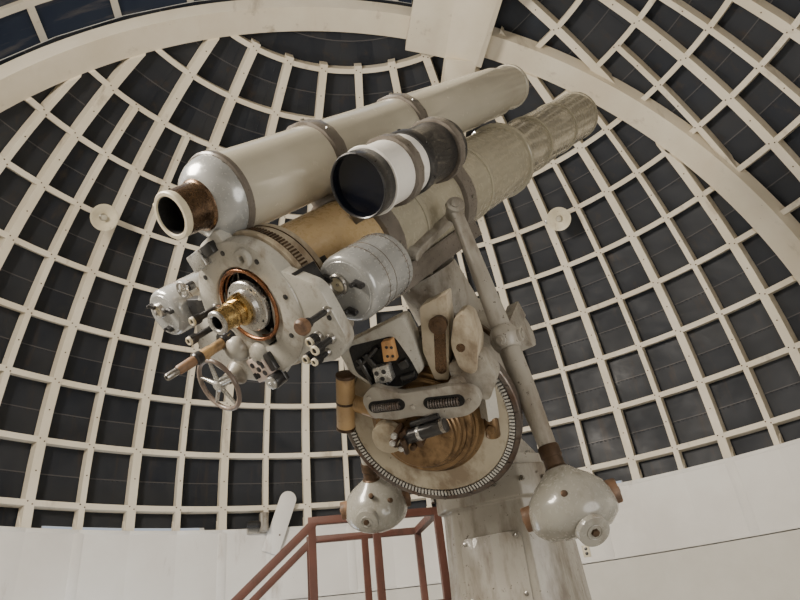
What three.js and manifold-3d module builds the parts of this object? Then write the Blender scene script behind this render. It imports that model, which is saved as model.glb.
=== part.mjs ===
// Observatory dome on a round wall, with its parting shutter, a refracting telescope and an observing stair.
// Millimetres, +Z up. The origin is the middle of the building at the underside of its floor.
// The slit opens towards -Y, and the telescope looks up over the rear of the dome.
import * as THREE from 'three';
import { mergeVertices } from 'three/addons/utils/BufferGeometryUtils.js';
import Module from 'manifold-3d';

const wasm = await Module();
wasm.setup();

// Clearances
const SEAT = 0.3;
const RUNNING = 10;
const RUNNING_FIT = 0.4;

// Slivers flatter than this are merged
const FLATNESS = 0.05;

// Floor, wall and rail
const FLOOR_TOP = 120;
const WALL_IN = 4560;
const WALL_OUT = 4820;
const WALL_TOP = 2150;
const UPSTAND_TOP = 2222;
const UPSTAND_THICK = 30;
const CORNICE_OUT = 5000;
const CORNICE_UNDER = 1950;
const FACETS = 60;
const WALL_SEGMENTS = 4;
const RAIL_IN = 4640;
const RAIL_OUT = 4700;
const RAIL_TOP = 2190;
const DOOR_AZIMUTH = 45;
const DOOR_WIDTH = 1000;
const DOOR_HEIGHT = 1800;
const DOOR_THICK = 60;
const DOOR_SETBACK = 150;

// Dome sphere and its grid
const CENTRE_Z = 3320;
const R = 4570;
const LATTICE_BACK = 4700;
const SKIN_IN = 4708;
const SKIN_OUT = 4728;
const SKIRT_TOP = 2977;
const SKIRT_BOTTOM = 2232;
const SKIRT_IN = 4557;
const SKIRT_OUT = 4745;
const SKIRT_PLATE = 30;
const APRON_BOTTOM = 2162;
const SKIRT_SEGMENTS = 3;
const ROLLERS_PER_SEGMENT = 2;
const ROLLER_RADIUS = 100;
const FIRST_RIB = -90;
const MAIN_RIBS = 30;
const RING_COUNT = 11;
const RING_FIRST = -1.47;
const RING_STEP = 7.436;
const RIB_WIDTH = 85;
const RING_WIDTH = 55;

// Slit, arches and header
const SLIT_HALF = 1225;
const ARCH_OUT = 1517;
const SOFFIT = 4340;
const ARCH_OUTER_TOP = 4430;
const ARCH_INNER_TOP = 4497;
const ARCH_PLATE = 14;
const SLIT_REAR = 754;
const HEADER_FROM = 99.5;
const HEADER_TO = 111.5;
const HEADER_DEPTH = 180;
const STRUT_FRONT = 1120;
const STRUT_REAR = 1460;
const STRUT_TOP = 4300;
const STRUT_DEPTH = 140;
const STRUT_END_ELEVATION = 50.6;

// Shutter leaves and their rails
const LEAF_IN = 4790;
const LEAF_SHEET = 20;
const LEAF_FRAME = 40;
const LEAF_FROM = -2;
const LEAF_TO = 116;
const LEAF_WIDTH = 1540;
const LEAF_EDGE_REST = 500;
const LEAF_MEMBER = 70;
const LEAF_CROSS = [-1, 28, 60.5, 92, 115];
const SHUTTER_RAIL_HALF = 2900;
const SHUTTER_RAIL = 80;
const RAIL_BRACKET = 60;

// Telescope, measured from the centre of the sphere
const AXES_CROSS = [355, 201, -402];
const POLAR_AZIMUTH = 141.74;
const POLAR_ELEVATION = 41.85;
const TUBE_AZIMUTH = 118.4;
const TUBE_ELEVATION = 41.3;
const DEC_ARM = 679;
const MAIN_RADIUS = 210;
const TUBE_WALL = 8;
const BREECH_AT = -935;
const COLLAR_AT = 1165;
const DEW_RADIUS = 180;
const DEW_END = 2615;
const BREECH_RADIUS = 262;
const BREECH_HALF = 30;
const TAIL_RADIUS = 146;
const GUIDE_X = 385;
const GUIDE_Y = 40;
const GUIDE_RADIUS = 150;
const GUIDE_FROM = -838;
const GUIDE_TO = 1692;
const FINDER_X = 171;
const FINDER_Y = 440;
const FINDER_RADIUS = 115;
const FINDER_FROM = -652;
const FINDER_TO = -52;
const DRUM_NEAR = { x: -106, y: 334, radius: 122, from: -840, to: -590 };
const DRUM_FAR = { x: 140, y: -430, radius: 97, from: -1000, to: -750 };
const DRUM_EDGE = 22;
const GEAR_RADIUS = 345;
const GEAR_THICK = 50;
const GEAR_UNDER = -740;
const GEAR_CLOSED = 15;
const WORKS_REACH = 400;
const BEARING_RADIUS = 235;
const BEARING_FROM = -655;
const BEARING_TO = -300;
const SHAFT_RADIUS = 90;
const DEC_SHAFT_RADIUS = 70;
const SHAFT_SIDES = 32;
const DEC_HOUSING_RADIUS = 165;
const HEAD_RADIUS = 225;
const WEIGHT_RADIUS = 152;
const PIER_SET = 120;
const PIER_TOP = 2300;
const PIER_HALF = 228;
const PIER_FOOT_HALF = 300;
const WEB_HALF = 150;
const FLANGE_THICK = 60;
const PIER_PLINTH = 60;
const PIER_COLLAR = 22;
const PIER_COLLAR_HIGH = 130;
const EYEPIECE = { x: -62, y: -203, radius: 24, end: -1250 };
const TAIL_END = -1105;
const LOBE_HALF = 24;
const BREECH_ARM = 84;
const BREECH_ARM_THICK = 50;
const WHEEL_AT = [-191, -286, -1050];
const WHEEL_RADIUS = 112;
const WHEEL_RIM = 8;

// Observing stair
const STAIR_X = [-1150, -480];
const STAIR_Y = [-560, 160];
const STAIR_TOP = 1390;
const STAIR_STEPS = 7;
const STAIR_GOING = 190;
const STAIR_RAIL = 950;
const STAIR_BAR = 40;

const group = new THREE.Group();
const vec = (x, y, z) => new THREE.Vector3(x, y, z);
const rad = THREE.MathUtils.degToRad;

// Solids

function toSolid(geometry) {
  let source = geometry.clone();
  source.deleteAttribute('normal');
  source.deleteAttribute('uv');
  source = mergeVertices(source, 1e-3);
  const corners = Array.from(source.index.array);
  const kept = [];
  for (let i = 0; i < corners.length; i += 3) {
    const [a, b, c] = corners.slice(i, i + 3);
    if (a !== b && b !== c && c !== a) kept.push(a, b, c);
  }
  return new wasm.Manifold(new wasm.Mesh({
    numProp: 3,
    vertProperties: new Float32Array(source.attributes.position.array),
    triVerts: new Uint32Array(kept),
  }));
}

function toGeometry(solid) {
  const mesh = solid.simplify(FLATNESS).getMesh();
  const geometry = new THREE.BufferGeometry();
  const points = new Float32Array(mesh.numVert * 3);
  for (let i = 0; i < mesh.numVert; i += 1) {
    for (let k = 0; k < 3; k += 1) points[3 * i + k] = mesh.vertProperties[mesh.numProp * i + k];
  }
  geometry.setAttribute('position', new THREE.BufferAttribute(points, 3));
  geometry.setIndex(Array.from(mesh.triVerts));
  return geometry;
}

function union(parts) {
  return parts.reduce((whole, part) => whole.add(part));
}

// The one connected body, without the slivers that a cut leaves loose.
function largest(solid) {
  return solid.decompose().reduce((a, b) => (a.volume() > b.volume() ? a : b));
}

// A closed skin over a grid of corner points, rows by columns, with flat ends triangulated from one row.
function loft(rows, closed) {
  const count = rows[0].length;
  const points = rows.flat();
  const faces = [];
  const last = closed ? rows.length : rows.length - 1;
  for (let i = 0; i < last; i += 1) {
    const here = i * count;
    const next = ((i + 1) % rows.length) * count;
    for (let k = 0; k < count; k += 1) {
      const m = (k + 1) % count;
      faces.push(here + k, here + m, next + m, here + k, next + m, next + k);
    }
  }
  if (!closed) {
    const flat = flatten(rows[0]);
    const tris = THREE.ShapeUtils.triangulateShape(flat, []);
    const end = (rows.length - 1) * count;
    for (const [a, b, c] of tris) faces.push(c, b, a, end + a, end + b, end + c);
  }
  const geometry = new THREE.BufferGeometry();
  geometry.setAttribute('position', new THREE.Float32BufferAttribute(points.flatMap((p) => p.toArray()), 3));
  geometry.setIndex(faces);
  return outward(geometry);
}

function flatten(row) {
  const origin = row[0];
  const along = row[1].clone().sub(origin).normalize();
  let normal = vec(0, 0, 0);
  for (let i = 1; i < row.length - 1; i += 1) {
    normal.add(row[i].clone().sub(origin).cross(row[i + 1].clone().sub(origin)));
  }
  normal = normal.normalize();
  const across = normal.clone().cross(along);
  return row.map((p) => {
    const q = p.clone().sub(origin);
    return new THREE.Vector2(q.dot(along), q.dot(across));
  });
}

function outward(geometry) {
  const p = geometry.attributes.position;
  const index = geometry.index.array;
  let volume = 0;
  const corner = [vec(0, 0, 0), vec(0, 0, 0), vec(0, 0, 0)];
  for (let i = 0; i < index.length; i += 3) {
    corner.forEach((v, k) => v.fromBufferAttribute(p, index[i + k]));
    volume += corner[0].dot(corner[1].clone().cross(corner[2]));
  }
  if (volume < 0) {
    for (let i = 0; i < index.length; i += 3) {
      const kept = index[i];
      index[i] = index[i + 1];
      index[i + 1] = kept;
    }
  }
  return geometry;
}

// A profile of [radius, height] turned about the Z axis between two azimuths.
function turned(profile, from, to, steps) {
  const full = Math.abs(to - from) >= 360;
  const rows = [];
  for (let i = 0; i < (full ? steps : steps + 1); i += 1) {
    const a = rad(from + ((to - from) * i) / steps);
    rows.push(profile.map(([r, z]) => vec(r * Math.cos(a), r * Math.sin(a), z)));
  }
  return toSolid(loft(rows, full));
}

// A profile of [x, radius] swept about the X axis through the sphere's centre; 0 is level at the front.
function arched(profile, from, to, steps) {
  const rows = [];
  for (let i = 0; i <= steps; i += 1) {
    const a = rad(from + ((to - from) * i) / steps);
    rows.push(profile.map(([x, r]) => vec(x, -r * Math.cos(a), CENTRE_Z + r * Math.sin(a))));
  }
  return toSolid(loft(rows, false));
}

function box(x0, x1, y0, y1, z0, z1) {
  const geometry = new THREE.BoxGeometry(x1 - x0, y1 - y0, z1 - z0);
  geometry.translate((x0 + x1) / 2, (y0 + y1) / 2, (z0 + z1) / 2);
  return toSolid(geometry);
}

// A round bar from one point to another; equal ends make a cylinder.
function rod(a, b, ra, rb, sides) {
  const span = b.clone().sub(a);
  const geometry = new THREE.CylinderGeometry(rb, ra, span.length(), sides);
  const turn = new THREE.Quaternion().setFromUnitVectors(vec(0, 1, 0), span.clone().normalize());
  geometry.applyQuaternion(turn);
  const middle = a.clone().add(b).multiplyScalar(0.5);
  geometry.translate(middle.x, middle.y, middle.z);
  return toSolid(geometry);
}

// A radius for a bore in which a shaft of as many sides turns without touching.
function running(radius, sides) {
  return (radius + RUNNING_FIT) / Math.cos(Math.PI / sides);
}

// A square bar from one point to another with one pair of faces kept upright.
function bar(a, b, width, depth) {
  const span = b.clone().sub(a);
  const along = span.clone().normalize();
  const side = Math.abs(along.z) > 0.99 ? vec(1, 0, 0) : vec(0, 0, 1).cross(along).normalize();
  const up = along.clone().cross(side);
  const geometry = new THREE.BoxGeometry(width, depth, span.length());
  geometry.applyMatrix4(new THREE.Matrix4().makeBasis(side, up, along));
  const middle = a.clone().add(b).multiplyScalar(0.5);
  geometry.translate(middle.x, middle.y, middle.z);
  return toSolid(geometry);
}

// A profile of [radius, distance] turned about the line from a towards b.
function spindle(profile, a, b, sides) {
  const along = b.clone().sub(a).normalize();
  const turn = new THREE.Quaternion().setFromUnitVectors(vec(0, 0, 1), along);
  const rows = [];
  for (let i = 0; i < sides; i += 1) {
    const t = (2 * Math.PI * i) / sides;
    rows.push(profile.map(([r, d]) => vec(r * Math.cos(t), r * Math.sin(t), d).applyQuaternion(turn).add(a)));
  }
  return toSolid(loft(rows, true));
}

// A turned piece about a line along Z at (x, y).
function lathe(profile, x, y, sides) {
  return turned(profile, 0, 360, sides).translate([x, y, 0]);
}

function material(color, roughness, metalness) {
  return new THREE.MeshStandardMaterial({ color, roughness, metalness });
}

const CREAM = '#d8ccb0';
const SHEET = '#30343b';
const WHITE = '#dcd9cf';
const TUBE = '#b9b8a6';
const CASTING = '#8f8e86';
const DARK_CASTING = '#4d4741';
const MASONRY = '#c9c5bb';
const RED_STEEL = '#7d4a40';

function add(name, solid, color, roughness, metalness, parent = group) {
  const mesh = new THREE.Mesh(toGeometry(solid), material(color, roughness, metalness));
  mesh.name = name;
  parent.add(mesh);
  return mesh;
}

// Building

function floorSlab() {
  const r = WALL_IN - SEAT;
  const disc = new THREE.CylinderGeometry(r, r, FLOOR_TOP, FACETS);
  disc.rotateX(Math.PI / 2);
  disc.translate(0, 0, FLOOR_TOP / 2);
  return toSolid(disc);
}

function wallSegment(index) {
  const span = 360 / WALL_SEGMENTS;
  const from = FIRST_RIB + index * span;
  const profile = [
    [WALL_IN, 0], [WALL_OUT, 0], [WALL_OUT, CORNICE_UNDER], [CORNICE_OUT, CORNICE_UNDER],
    [CORNICE_OUT, WALL_TOP], [WALL_IN + UPSTAND_THICK, WALL_TOP], [WALL_IN + UPSTAND_THICK, UPSTAND_TOP],
    [WALL_IN, UPSTAND_TOP],
  ];
  const solid = turned(profile, from, from + span, FACETS / WALL_SEGMENTS);
  const joint = box(WALL_IN - 200, CORNICE_OUT + 200, -SEAT / 2, SEAT / 2, -10, UPSTAND_TOP + 10);
  const cut = solid.subtract(joint.rotate([0, 0, from])).subtract(joint.rotate([0, 0, from + span]));
  const holdsDoor = DOOR_AZIMUTH > from && DOOR_AZIMUTH < from + span;
  return holdsDoor ? cut.subtract(doorSpace(0, WALL_IN - 200, WALL_OUT + 100)) : cut;
}

function doorSpace(inset, from, to) {
  const half = DOOR_WIDTH / 2 - inset;
  const space = box(from, to, -half, half, FLOOR_TOP + inset, FLOOR_TOP + DOOR_HEIGHT - inset);
  return space.rotate([0, 0, DOOR_AZIMUTH]);
}

add('floor_slab', floorSlab(), MASONRY, 0.9, 0);
for (let i = 0; i < WALL_SEGMENTS; i += 1) {
  add(`drum_wall_${i + 1}`, wallSegment(i), MASONRY, 0.9, 0);
}
const doorFace = WALL_OUT - DOOR_SETBACK;
add('drum_door', doorSpace(SEAT, doorFace - DOOR_THICK, doorFace), RED_STEEL, 0.6, 0.3);
add('rail_ring', turned([
  [RAIL_IN, WALL_TOP + SEAT], [RAIL_OUT, WALL_TOP + SEAT], [RAIL_OUT, RAIL_TOP], [RAIL_IN, RAIL_TOP],
], FIRST_RIB, FIRST_RIB + 360, FACETS), '#5c5a58', 0.5, 0.8);

// Dome skirt with its rollers

function roller(azimuth) {
  const middle = (RAIL_IN + RAIL_OUT) / 2;
  const apothem = ROLLER_RADIUS * Math.cos(Math.PI / 8);
  const wheel = new THREE.CylinderGeometry(ROLLER_RADIUS, ROLLER_RADIUS, 50, 8, 1, false, Math.PI / 8);
  wheel.rotateZ(Math.PI / 2);
  wheel.translate(middle, 0, RAIL_TOP + SEAT + apothem);
  const post = box(middle - 18, middle + 18, -60, 60, RAIL_TOP + 120, SKIRT_TOP - SKIRT_PLATE / 2);
  return toSolid(wheel).add(post).rotate([0, 0, azimuth]);
}

function skirtSegment(index) {
  const span = 360 / SKIRT_SEGMENTS;
  const from = FIRST_RIB + index * span;
  const profile = [
    [SKIRT_IN, SKIRT_BOTTOM], [SKIRT_IN + SKIRT_PLATE, SKIRT_BOTTOM],
    [SKIRT_IN + SKIRT_PLATE, SKIRT_TOP - SKIRT_PLATE], [SKIRT_OUT - SKIRT_PLATE, SKIRT_TOP - SKIRT_PLATE],
    [SKIRT_OUT - SKIRT_PLATE, APRON_BOTTOM], [SKIRT_OUT, APRON_BOTTOM], [SKIRT_OUT, SKIRT_TOP],
    [SKIRT_IN, SKIRT_TOP],
  ];
  const parts = [turned(profile, from, from + span, FACETS / SKIRT_SEGMENTS)];
  for (let k = 0; k < ROLLERS_PER_SEGMENT; k += 1) {
    parts.push(roller(from + (span * (k + 0.5)) / ROLLERS_PER_SEGMENT));
  }
  const joint = box(SKIRT_IN - 200, SKIRT_OUT + 200, -SEAT / 2, SEAT / 2, APRON_BOTTOM - 50, SKIRT_TOP + 50);
  return union(parts).subtract(joint.rotate([0, 0, from])).subtract(joint.rotate([0, 0, from + span]));
}

for (let i = 0; i < SKIRT_SEGMENTS; i += 1) {
  add(`skirt_${i + 1}`, skirtSegment(i), WHITE, 0.6, 0.2);
}

// Lattice of main ribs and rings, made as one net of cells and then cut at the arches

function ringAngle(j) {
  return RING_FIRST + RING_STEP * j;
}

function latticeNet() {
  const foot = SKIRT_TOP + SEAT - CENTRE_Z;
  const halfRing = THREE.MathUtils.radToDeg(RING_WIDTH / 2 / R);
  const rows = [null];
  for (let j = 0; j < RING_COUNT; j += 1) rows.push(ringAngle(j) - halfRing, ringAngle(j) + halfRing);
  const columns = 2 * MAIN_RIBS;
  const points = [];
  for (const radius of [R, LATTICE_BACK]) {
    for (const row of rows) {
      const el = row === null ? Math.asin(foot / radius) : rad(row);
      const halfRib = RIB_WIDTH / 2 / (R * Math.cos(el));
      for (let c = 0; c < columns; c += 1) {
        const side = c % 2 === 0 ? -1 : 1;
        const az = rad(FIRST_RIB + (Math.floor(c / 2) * 360) / MAIN_RIBS) + side * halfRib;
        const level = radius * Math.cos(el);
        points.push(level * Math.cos(az), level * Math.sin(az), CENTRE_Z + radius * Math.sin(el));
      }
    }
  }
  const layer = rows.length * columns;
  const at = (back, m, c) => (back ? layer : 0) + m * columns + ((c + columns) % columns);
  const solidAt = (m, c) => m >= 0 && m < rows.length - 1 && (((c + columns) % columns) % 2 === 0 || m % 2 === 1);
  const faces = [];
  const quad = (a, b, c, d) => faces.push(a, b, c, a, c, d);
  for (let m = 0; m < rows.length - 1; m += 1) {
    for (let c = 0; c < columns; c += 1) {
      if (!solidAt(m, c)) continue;
      quad(at(0, m, c), at(0, m + 1, c), at(0, m + 1, c + 1), at(0, m, c + 1));
      quad(at(1, m, c), at(1, m, c + 1), at(1, m + 1, c + 1), at(1, m + 1, c));
      if (!solidAt(m - 1, c)) quad(at(0, m, c), at(0, m, c + 1), at(1, m, c + 1), at(1, m, c));
      if (!solidAt(m + 1, c)) quad(at(0, m + 1, c), at(1, m + 1, c), at(1, m + 1, c + 1), at(0, m + 1, c + 1));
      if (!solidAt(m, c - 1)) quad(at(0, m, c), at(1, m, c), at(1, m + 1, c), at(0, m + 1, c));
      if (!solidAt(m, c + 1)) quad(at(0, m, c + 1), at(0, m + 1, c + 1), at(1, m + 1, c + 1), at(1, m, c + 1));
    }
  }
  const geometry = new THREE.BufferGeometry();
  geometry.setAttribute('position', new THREE.Float32BufferAttribute(points, 3));
  geometry.setIndex(faces);
  return toSolid(outward(geometry));
}

const REACH = 6000;
const net = latticeNet();
const behindHeader = box(-REACH, REACH, 0, REACH, -REACH, REACH)
  .rotate([-(HEADER_TO + 1 - 90), 0, 0])
  .translate([0, 0, CENTRE_Z]);
const leftOfArch = box(-REACH, -ARCH_OUT - SEAT, -REACH, REACH, 0, 2 * REACH);
add('lattice_left', largest(net.intersect(leftOfArch)), CREAM, 0.6, 0.1);
const rightOfArch = box(ARCH_OUT + SEAT, REACH, -REACH, REACH, 0, 2 * REACH);
add('lattice_right', largest(net.intersect(rightOfArch)), CREAM, 0.6, 0.1);
const insideArches = box(-SLIT_HALF + SEAT, SLIT_HALF - SEAT, 0, REACH, 0, 2 * REACH);
add('lattice_rear', largest(net.intersect(insideArches).intersect(behindHeader)), CREAM, 0.6, 0.1);

// Arches, header and struts

const aboveSkirt = box(-REACH, REACH, -REACH, REACH, SKIRT_TOP + SEAT, 2 * REACH);

function arch(side) {
  const p = ARCH_PLATE;
  const profile = [
    [SLIT_HALF, SOFFIT], [ARCH_OUT, SOFFIT], [ARCH_OUT, ARCH_OUTER_TOP], [ARCH_OUT - p, ARCH_OUTER_TOP],
    [ARCH_OUT - p, SOFFIT + p], [SLIT_HALF + p, SOFFIT + p], [SLIT_HALF + p, ARCH_INNER_TOP],
    [SLIT_HALF, ARCH_INNER_TOP],
  ];
  return arched(profile.map(([x, r]) => [side * x, r]), -6, 186, 32).intersect(aboveSkirt);
}

add('arch_left', arch(-1), CREAM, 0.55, 0.1);
add('arch_right', arch(1), CREAM, 0.55, 0.1);

function header() {
  const top = SOFFIT - 12;
  const low = top - HEADER_DEPTH;
  const plate = 20;
  const block = (half, r0, r1, a0, a1) => arched([[-half, r0], [half, r0], [half, r1], [-half, r1]], a0, a1, 3);
  const shell = block(ARCH_OUT, low, top, HEADER_FROM, HEADER_TO)
    .subtract(block(ARCH_OUT - plate, low + plate, top + 60, HEADER_FROM + 0.3, HEADER_TO - 0.3));
  const endX = Math.sqrt((R * Math.cos(Math.asin(STRUT_REAR / R))) ** 2 - (R * Math.sin(rad(STRUT_END_ELEVATION))) ** 2);
  const strutTo = THREE.MathUtils.radToDeg(Math.acos(endX / STRUT_TOP));
  const strutFrom = THREE.MathUtils.radToDeg(Math.acos((ARCH_OUT - plate / 2) / STRUT_TOP));
  const struts = [-1, 1].map((side) => {
    const rows = [];
    for (let i = 0; i <= 6; i += 1) {
      const a = rad(strutFrom + ((strutTo - strutFrom) * i) / 6);
      const pair = [STRUT_TOP - STRUT_DEPTH, STRUT_TOP];
      const [inner, outer] = pair.map((r) => [side * r * Math.cos(a), CENTRE_Z + r * Math.sin(a)]);
      rows.push([
        vec(inner[0], STRUT_FRONT, inner[1]), vec(inner[0], STRUT_REAR, inner[1]),
        vec(outer[0], STRUT_REAR, outer[1]), vec(outer[0], STRUT_FRONT, outer[1]),
      ]);
    }
    return toSolid(loft(rows, false));
  });
  return union([shell, ...struts]);
}

add('slit_header', header(), CREAM, 0.6, 0.1);

// Sheet skin, in sectors

function ball(radius) {
  const rows = [];
  const foot = SKIRT_TOP + SEAT - CENTRE_Z;
  const levels = [Math.asin(foot / radius)];
  for (let j = 0; j < RING_COUNT; j += 1) levels.push(rad(ringAngle(j)));
  levels.push(rad(80), rad(85.5));
  const profile = levels.map((a) => [radius * Math.cos(a), radius * Math.sin(a)]);
  for (let i = 0; i < FACETS; i += 1) {
    const az = rad(FIRST_RIB + (i * 360) / FACETS);
    rows.push(profile.map(([r, z]) => vec(r * Math.cos(az), r * Math.sin(az), CENTRE_Z + z)));
  }
  const n = profile.length;
  const points = rows.flat();
  const pole = points.length;
  points.push(vec(0, 0, CENTRE_Z + radius), vec(0, 0, CENTRE_Z + foot));
  const faces = [];
  for (let i = 0; i < FACETS; i += 1) {
    const a = i * n;
    const b = ((i + 1) % FACETS) * n;
    for (let k = 0; k < n - 1; k += 1) faces.push(a + k, b + k, b + k + 1, a + k, b + k + 1, a + k + 1);
    faces.push(a + n - 1, b + n - 1, pole, b, a, pole + 1);
  }
  const geometry = new THREE.BufferGeometry();
  geometry.setAttribute('position', new THREE.Float32BufferAttribute(points.flatMap((p) => p.toArray()), 3));
  geometry.setIndex(faces);
  return toSolid(outward(geometry));
}

const skin = ball(SKIN_OUT)
  .subtract(ball(SKIN_IN).add(box(-SKIN_IN + 300, SKIN_IN - 300, -3000, 3000, SKIRT_TOP - 50, SKIRT_TOP + 50)))
  .subtract(box(-SLIT_HALF, SLIT_HALF, -REACH, SLIT_REAR, 0, 2 * REACH));
const joint = SEAT / 2;
for (const [side, from, to] of [['left', -REACH, -SLIT_HALF - joint], ['right', SLIT_HALF + joint, REACH]]) {
  add(`skin_${side}_front`, skin.intersect(box(from, to, -REACH, -joint, 0, 2 * REACH)), SHEET, 0.55, 0.4);
  add(`skin_${side}_rear`, skin.intersect(box(from, to, joint, REACH, 0, 2 * REACH)), SHEET, 0.55, 0.4);
}
const rearSkin = box(-SLIT_HALF + joint, SLIT_HALF - joint, 0, REACH, 0, 2 * REACH);
add('skin_rear', skin.intersect(rearSkin), SHEET, 0.55, 0.4);

// Shutter leaves and the two straight rails that they run on

function leaf(side) {
  const near = LEAF_EDGE_REST;
  const far = near + LEAF_WIDTH;
  const strip = (x0, x1, r0, r1, a0, a1, steps) => {
    const profile = [[x0, r0], [x1, r0], [x1, r1], [x0, r1]].map(([x, r]) => [side * x, r]);
    return arched(profile, a0, a1, steps);
  };
  const steps = 13;
  const low = LEAF_IN;
  const mid = LEAF_IN + LEAF_FRAME;
  const top = mid + LEAF_SHEET;
  const parts = [strip(near, far, mid - 2, top, LEAF_FROM, LEAF_TO, steps)];
  for (const x of [near, near + 470, far - LEAF_MEMBER]) {
    parts.push(strip(x, x + LEAF_MEMBER, low, mid, LEAF_FROM, LEAF_TO, steps));
  }
  const half = THREE.MathUtils.radToDeg(LEAF_MEMBER / 2 / mid);
  for (const a of LEAF_CROSS) parts.push(strip(near + 5, far - 5, low + 4, mid, a - half, a + half, 1));
  return union(parts);
}

add('shutter_left', leaf(-1), SHEET, 0.5, 0.5);
add('shutter_right', leaf(1), SHEET, 0.5, 0.5);

function bottomRail() {
  const y = -(LEAF_IN + LEAF_FRAME / 2) * Math.cos(rad(LEAF_FROM));
  const leafFoot = CENTRE_Z + (LEAF_IN + LEAF_FRAME + LEAF_SHEET) * Math.sin(rad(LEAF_FROM));
  const top = leafFoot - SEAT;
  const half = SHUTTER_RAIL / 2;
  const parts = [box(-SHUTTER_RAIL_HALF, SHUTTER_RAIL_HALF, y - half, y + half, top - SHUTTER_RAIL, top)];
  for (const x of [-2700, -1900, -900, 0, 900, 1900, 2700]) {
    const w = RAIL_BRACKET / 2;
    const inside = -Math.sqrt((SKIRT_OUT - 60) ** 2 - x * x);
    parts.push(box(x - w, x + w, y, inside, top - SHUTTER_RAIL - 60, top - SHUTTER_RAIL + 10));
  }
  const drum = turned([[1, SKIRT_TOP - 400], [SKIRT_OUT + SEAT, SKIRT_TOP - 400], [SKIRT_OUT + SEAT, SKIRT_TOP + SEAT],
    [1, SKIRT_TOP + SEAT]], FIRST_RIB, FIRST_RIB + 360, FACETS);
  return union(parts).subtract(drum).subtract(ball(SKIN_OUT + SEAT));
}

function topRail() {
  const a = rad(LEAF_TO);
  const y = -(LEAF_IN + LEAF_FRAME / 2) * Math.cos(a);
  const z = CENTRE_Z + (LEAF_IN + LEAF_FRAME / 2) * Math.sin(a);
  const half = SHUTTER_RAIL / 2;
  const clear = 46;
  const y0 = y + clear;
  const parts = [box(-SHUTTER_RAIL_HALF, SHUTTER_RAIL_HALF, y0, y0 + SHUTTER_RAIL, z - half - 40, z + half - 40)];
  for (const x of [-2700, -1900, -900, 0, 900, 1900, 2700]) {
    const w = RAIL_BRACKET / 2;
    const foot = CENTRE_Z + Math.sqrt((SKIN_IN - 60) ** 2 - x * x - (y0 + half) ** 2);
    parts.push(box(x - w, x + w, y0 + half - w, y0 + half + w, foot, z - half));
  }
  return union(parts).subtract(ball(SKIN_OUT + SEAT));
}

add('shutter_rail_bottom', bottomRail(), '#4a4c50', 0.5, 0.7);
add('shutter_rail_top', topRail(), '#4a4c50', 0.5, 0.7);

// Fittings inside the dome

const LAMP_RIB = 138;
const LAMP_ELEVATION = ringAngle(5);

function onSphere(azimuth, elevation, radius) {
  const a = rad(azimuth);
  const e = rad(elevation);
  return vec(radius * Math.cos(e) * Math.cos(a), radius * Math.cos(e) * Math.sin(a), CENTRE_Z + radius * Math.sin(e));
}

function lamp(side) {
  const base = onSphere(side * LAMP_RIB, LAMP_ELEVATION, R - 1);
  const dish = onSphere(side * (LAMP_RIB - 3), LAMP_ELEVATION - 0.3, R - 200);
  const inward = vec(0, 0, CENTRE_Z).sub(base).normalize();
  const rim = dish.clone().add(inward.clone().multiplyScalar(45));
  return union([
    rod(base.clone().add(inward.clone().multiplyScalar(20)), dish, 14, 14, 6),
    rod(base, base.clone().add(inward.clone().multiplyScalar(40)), 26, 26, 8),
    rod(dish, rim, 45, 140, 14).subtract(rod(dish.clone().add(inward.clone().multiplyScalar(6)),
      rim.clone().add(inward.clone().multiplyScalar(6)), 42, 140, 14)),
    rod(dish, dish.clone().add(inward.clone().multiplyScalar(55)), 30, 24, 8),
  ]);
}

add('lamp_left', lamp(-1), WHITE, 0.4, 0.1);
add('lamp_right', lamp(1), WHITE, 0.4, 0.1);

function driveUnit() {
  const face = SKIRT_IN * Math.cos(Math.PI / FACETS);
  const z = SKIRT_TOP;
  return union([
    box(face - 40, face - SEAT, -95, 120, z - 60, z + 40),
    box(face - 130, face - 30, -95, -10, z - 50, z + 150),
    rod(vec(face - 100, -10, z + 20), vec(face - 100, 140, z + 20), 45, 45, 14),
  ]).translate([0, -140, 0]).rotate([0, 0, -165]);
}

function guideBoard() {
  const face = SKIRT_IN * Math.cos(Math.PI / FACETS);
  const board = union([
    box(-12, 12, -95, 95, -310, 290),
    rod(vec(-12, 0, 290), vec(12, 0, 290), 95, 95, 20),
  ]).rotate([20, 0, 0]).translate([face - 40, 0, SKIRT_TOP + 20]);
  const bracket = box(face - 40, face - SEAT, -30, 30, SKIRT_TOP - 120, SKIRT_TOP - 60);
  return board.add(bracket).translate([0, 95, 0]).rotate([0, 0, -171]);
}

add('drive_unit', driveUnit(), CASTING, 0.5, 0.4);
add('guide_board', guideBoard(), WHITE, 0.6, 0.1);

// Pier and polar bearing

const cross = vec(...AXES_CROSS).add(vec(0, 0, CENTRE_Z));
const polarAxis = onSphere(POLAR_AZIMUTH, POLAR_ELEVATION, 1).sub(vec(0, 0, CENTRE_Z));
const tubeAxis = onSphere(TUBE_AZIMUTH, TUBE_ELEVATION, 1).sub(vec(0, 0, CENTRE_Z));
const decAxis = tubeAxis.clone().cross(polarAxis).normalize();
const north = vec(polarAxis.x, polarAxis.y, 0).normalize();
const pierAt = cross.clone().add(north.clone().multiplyScalar(PIER_SET));

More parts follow.
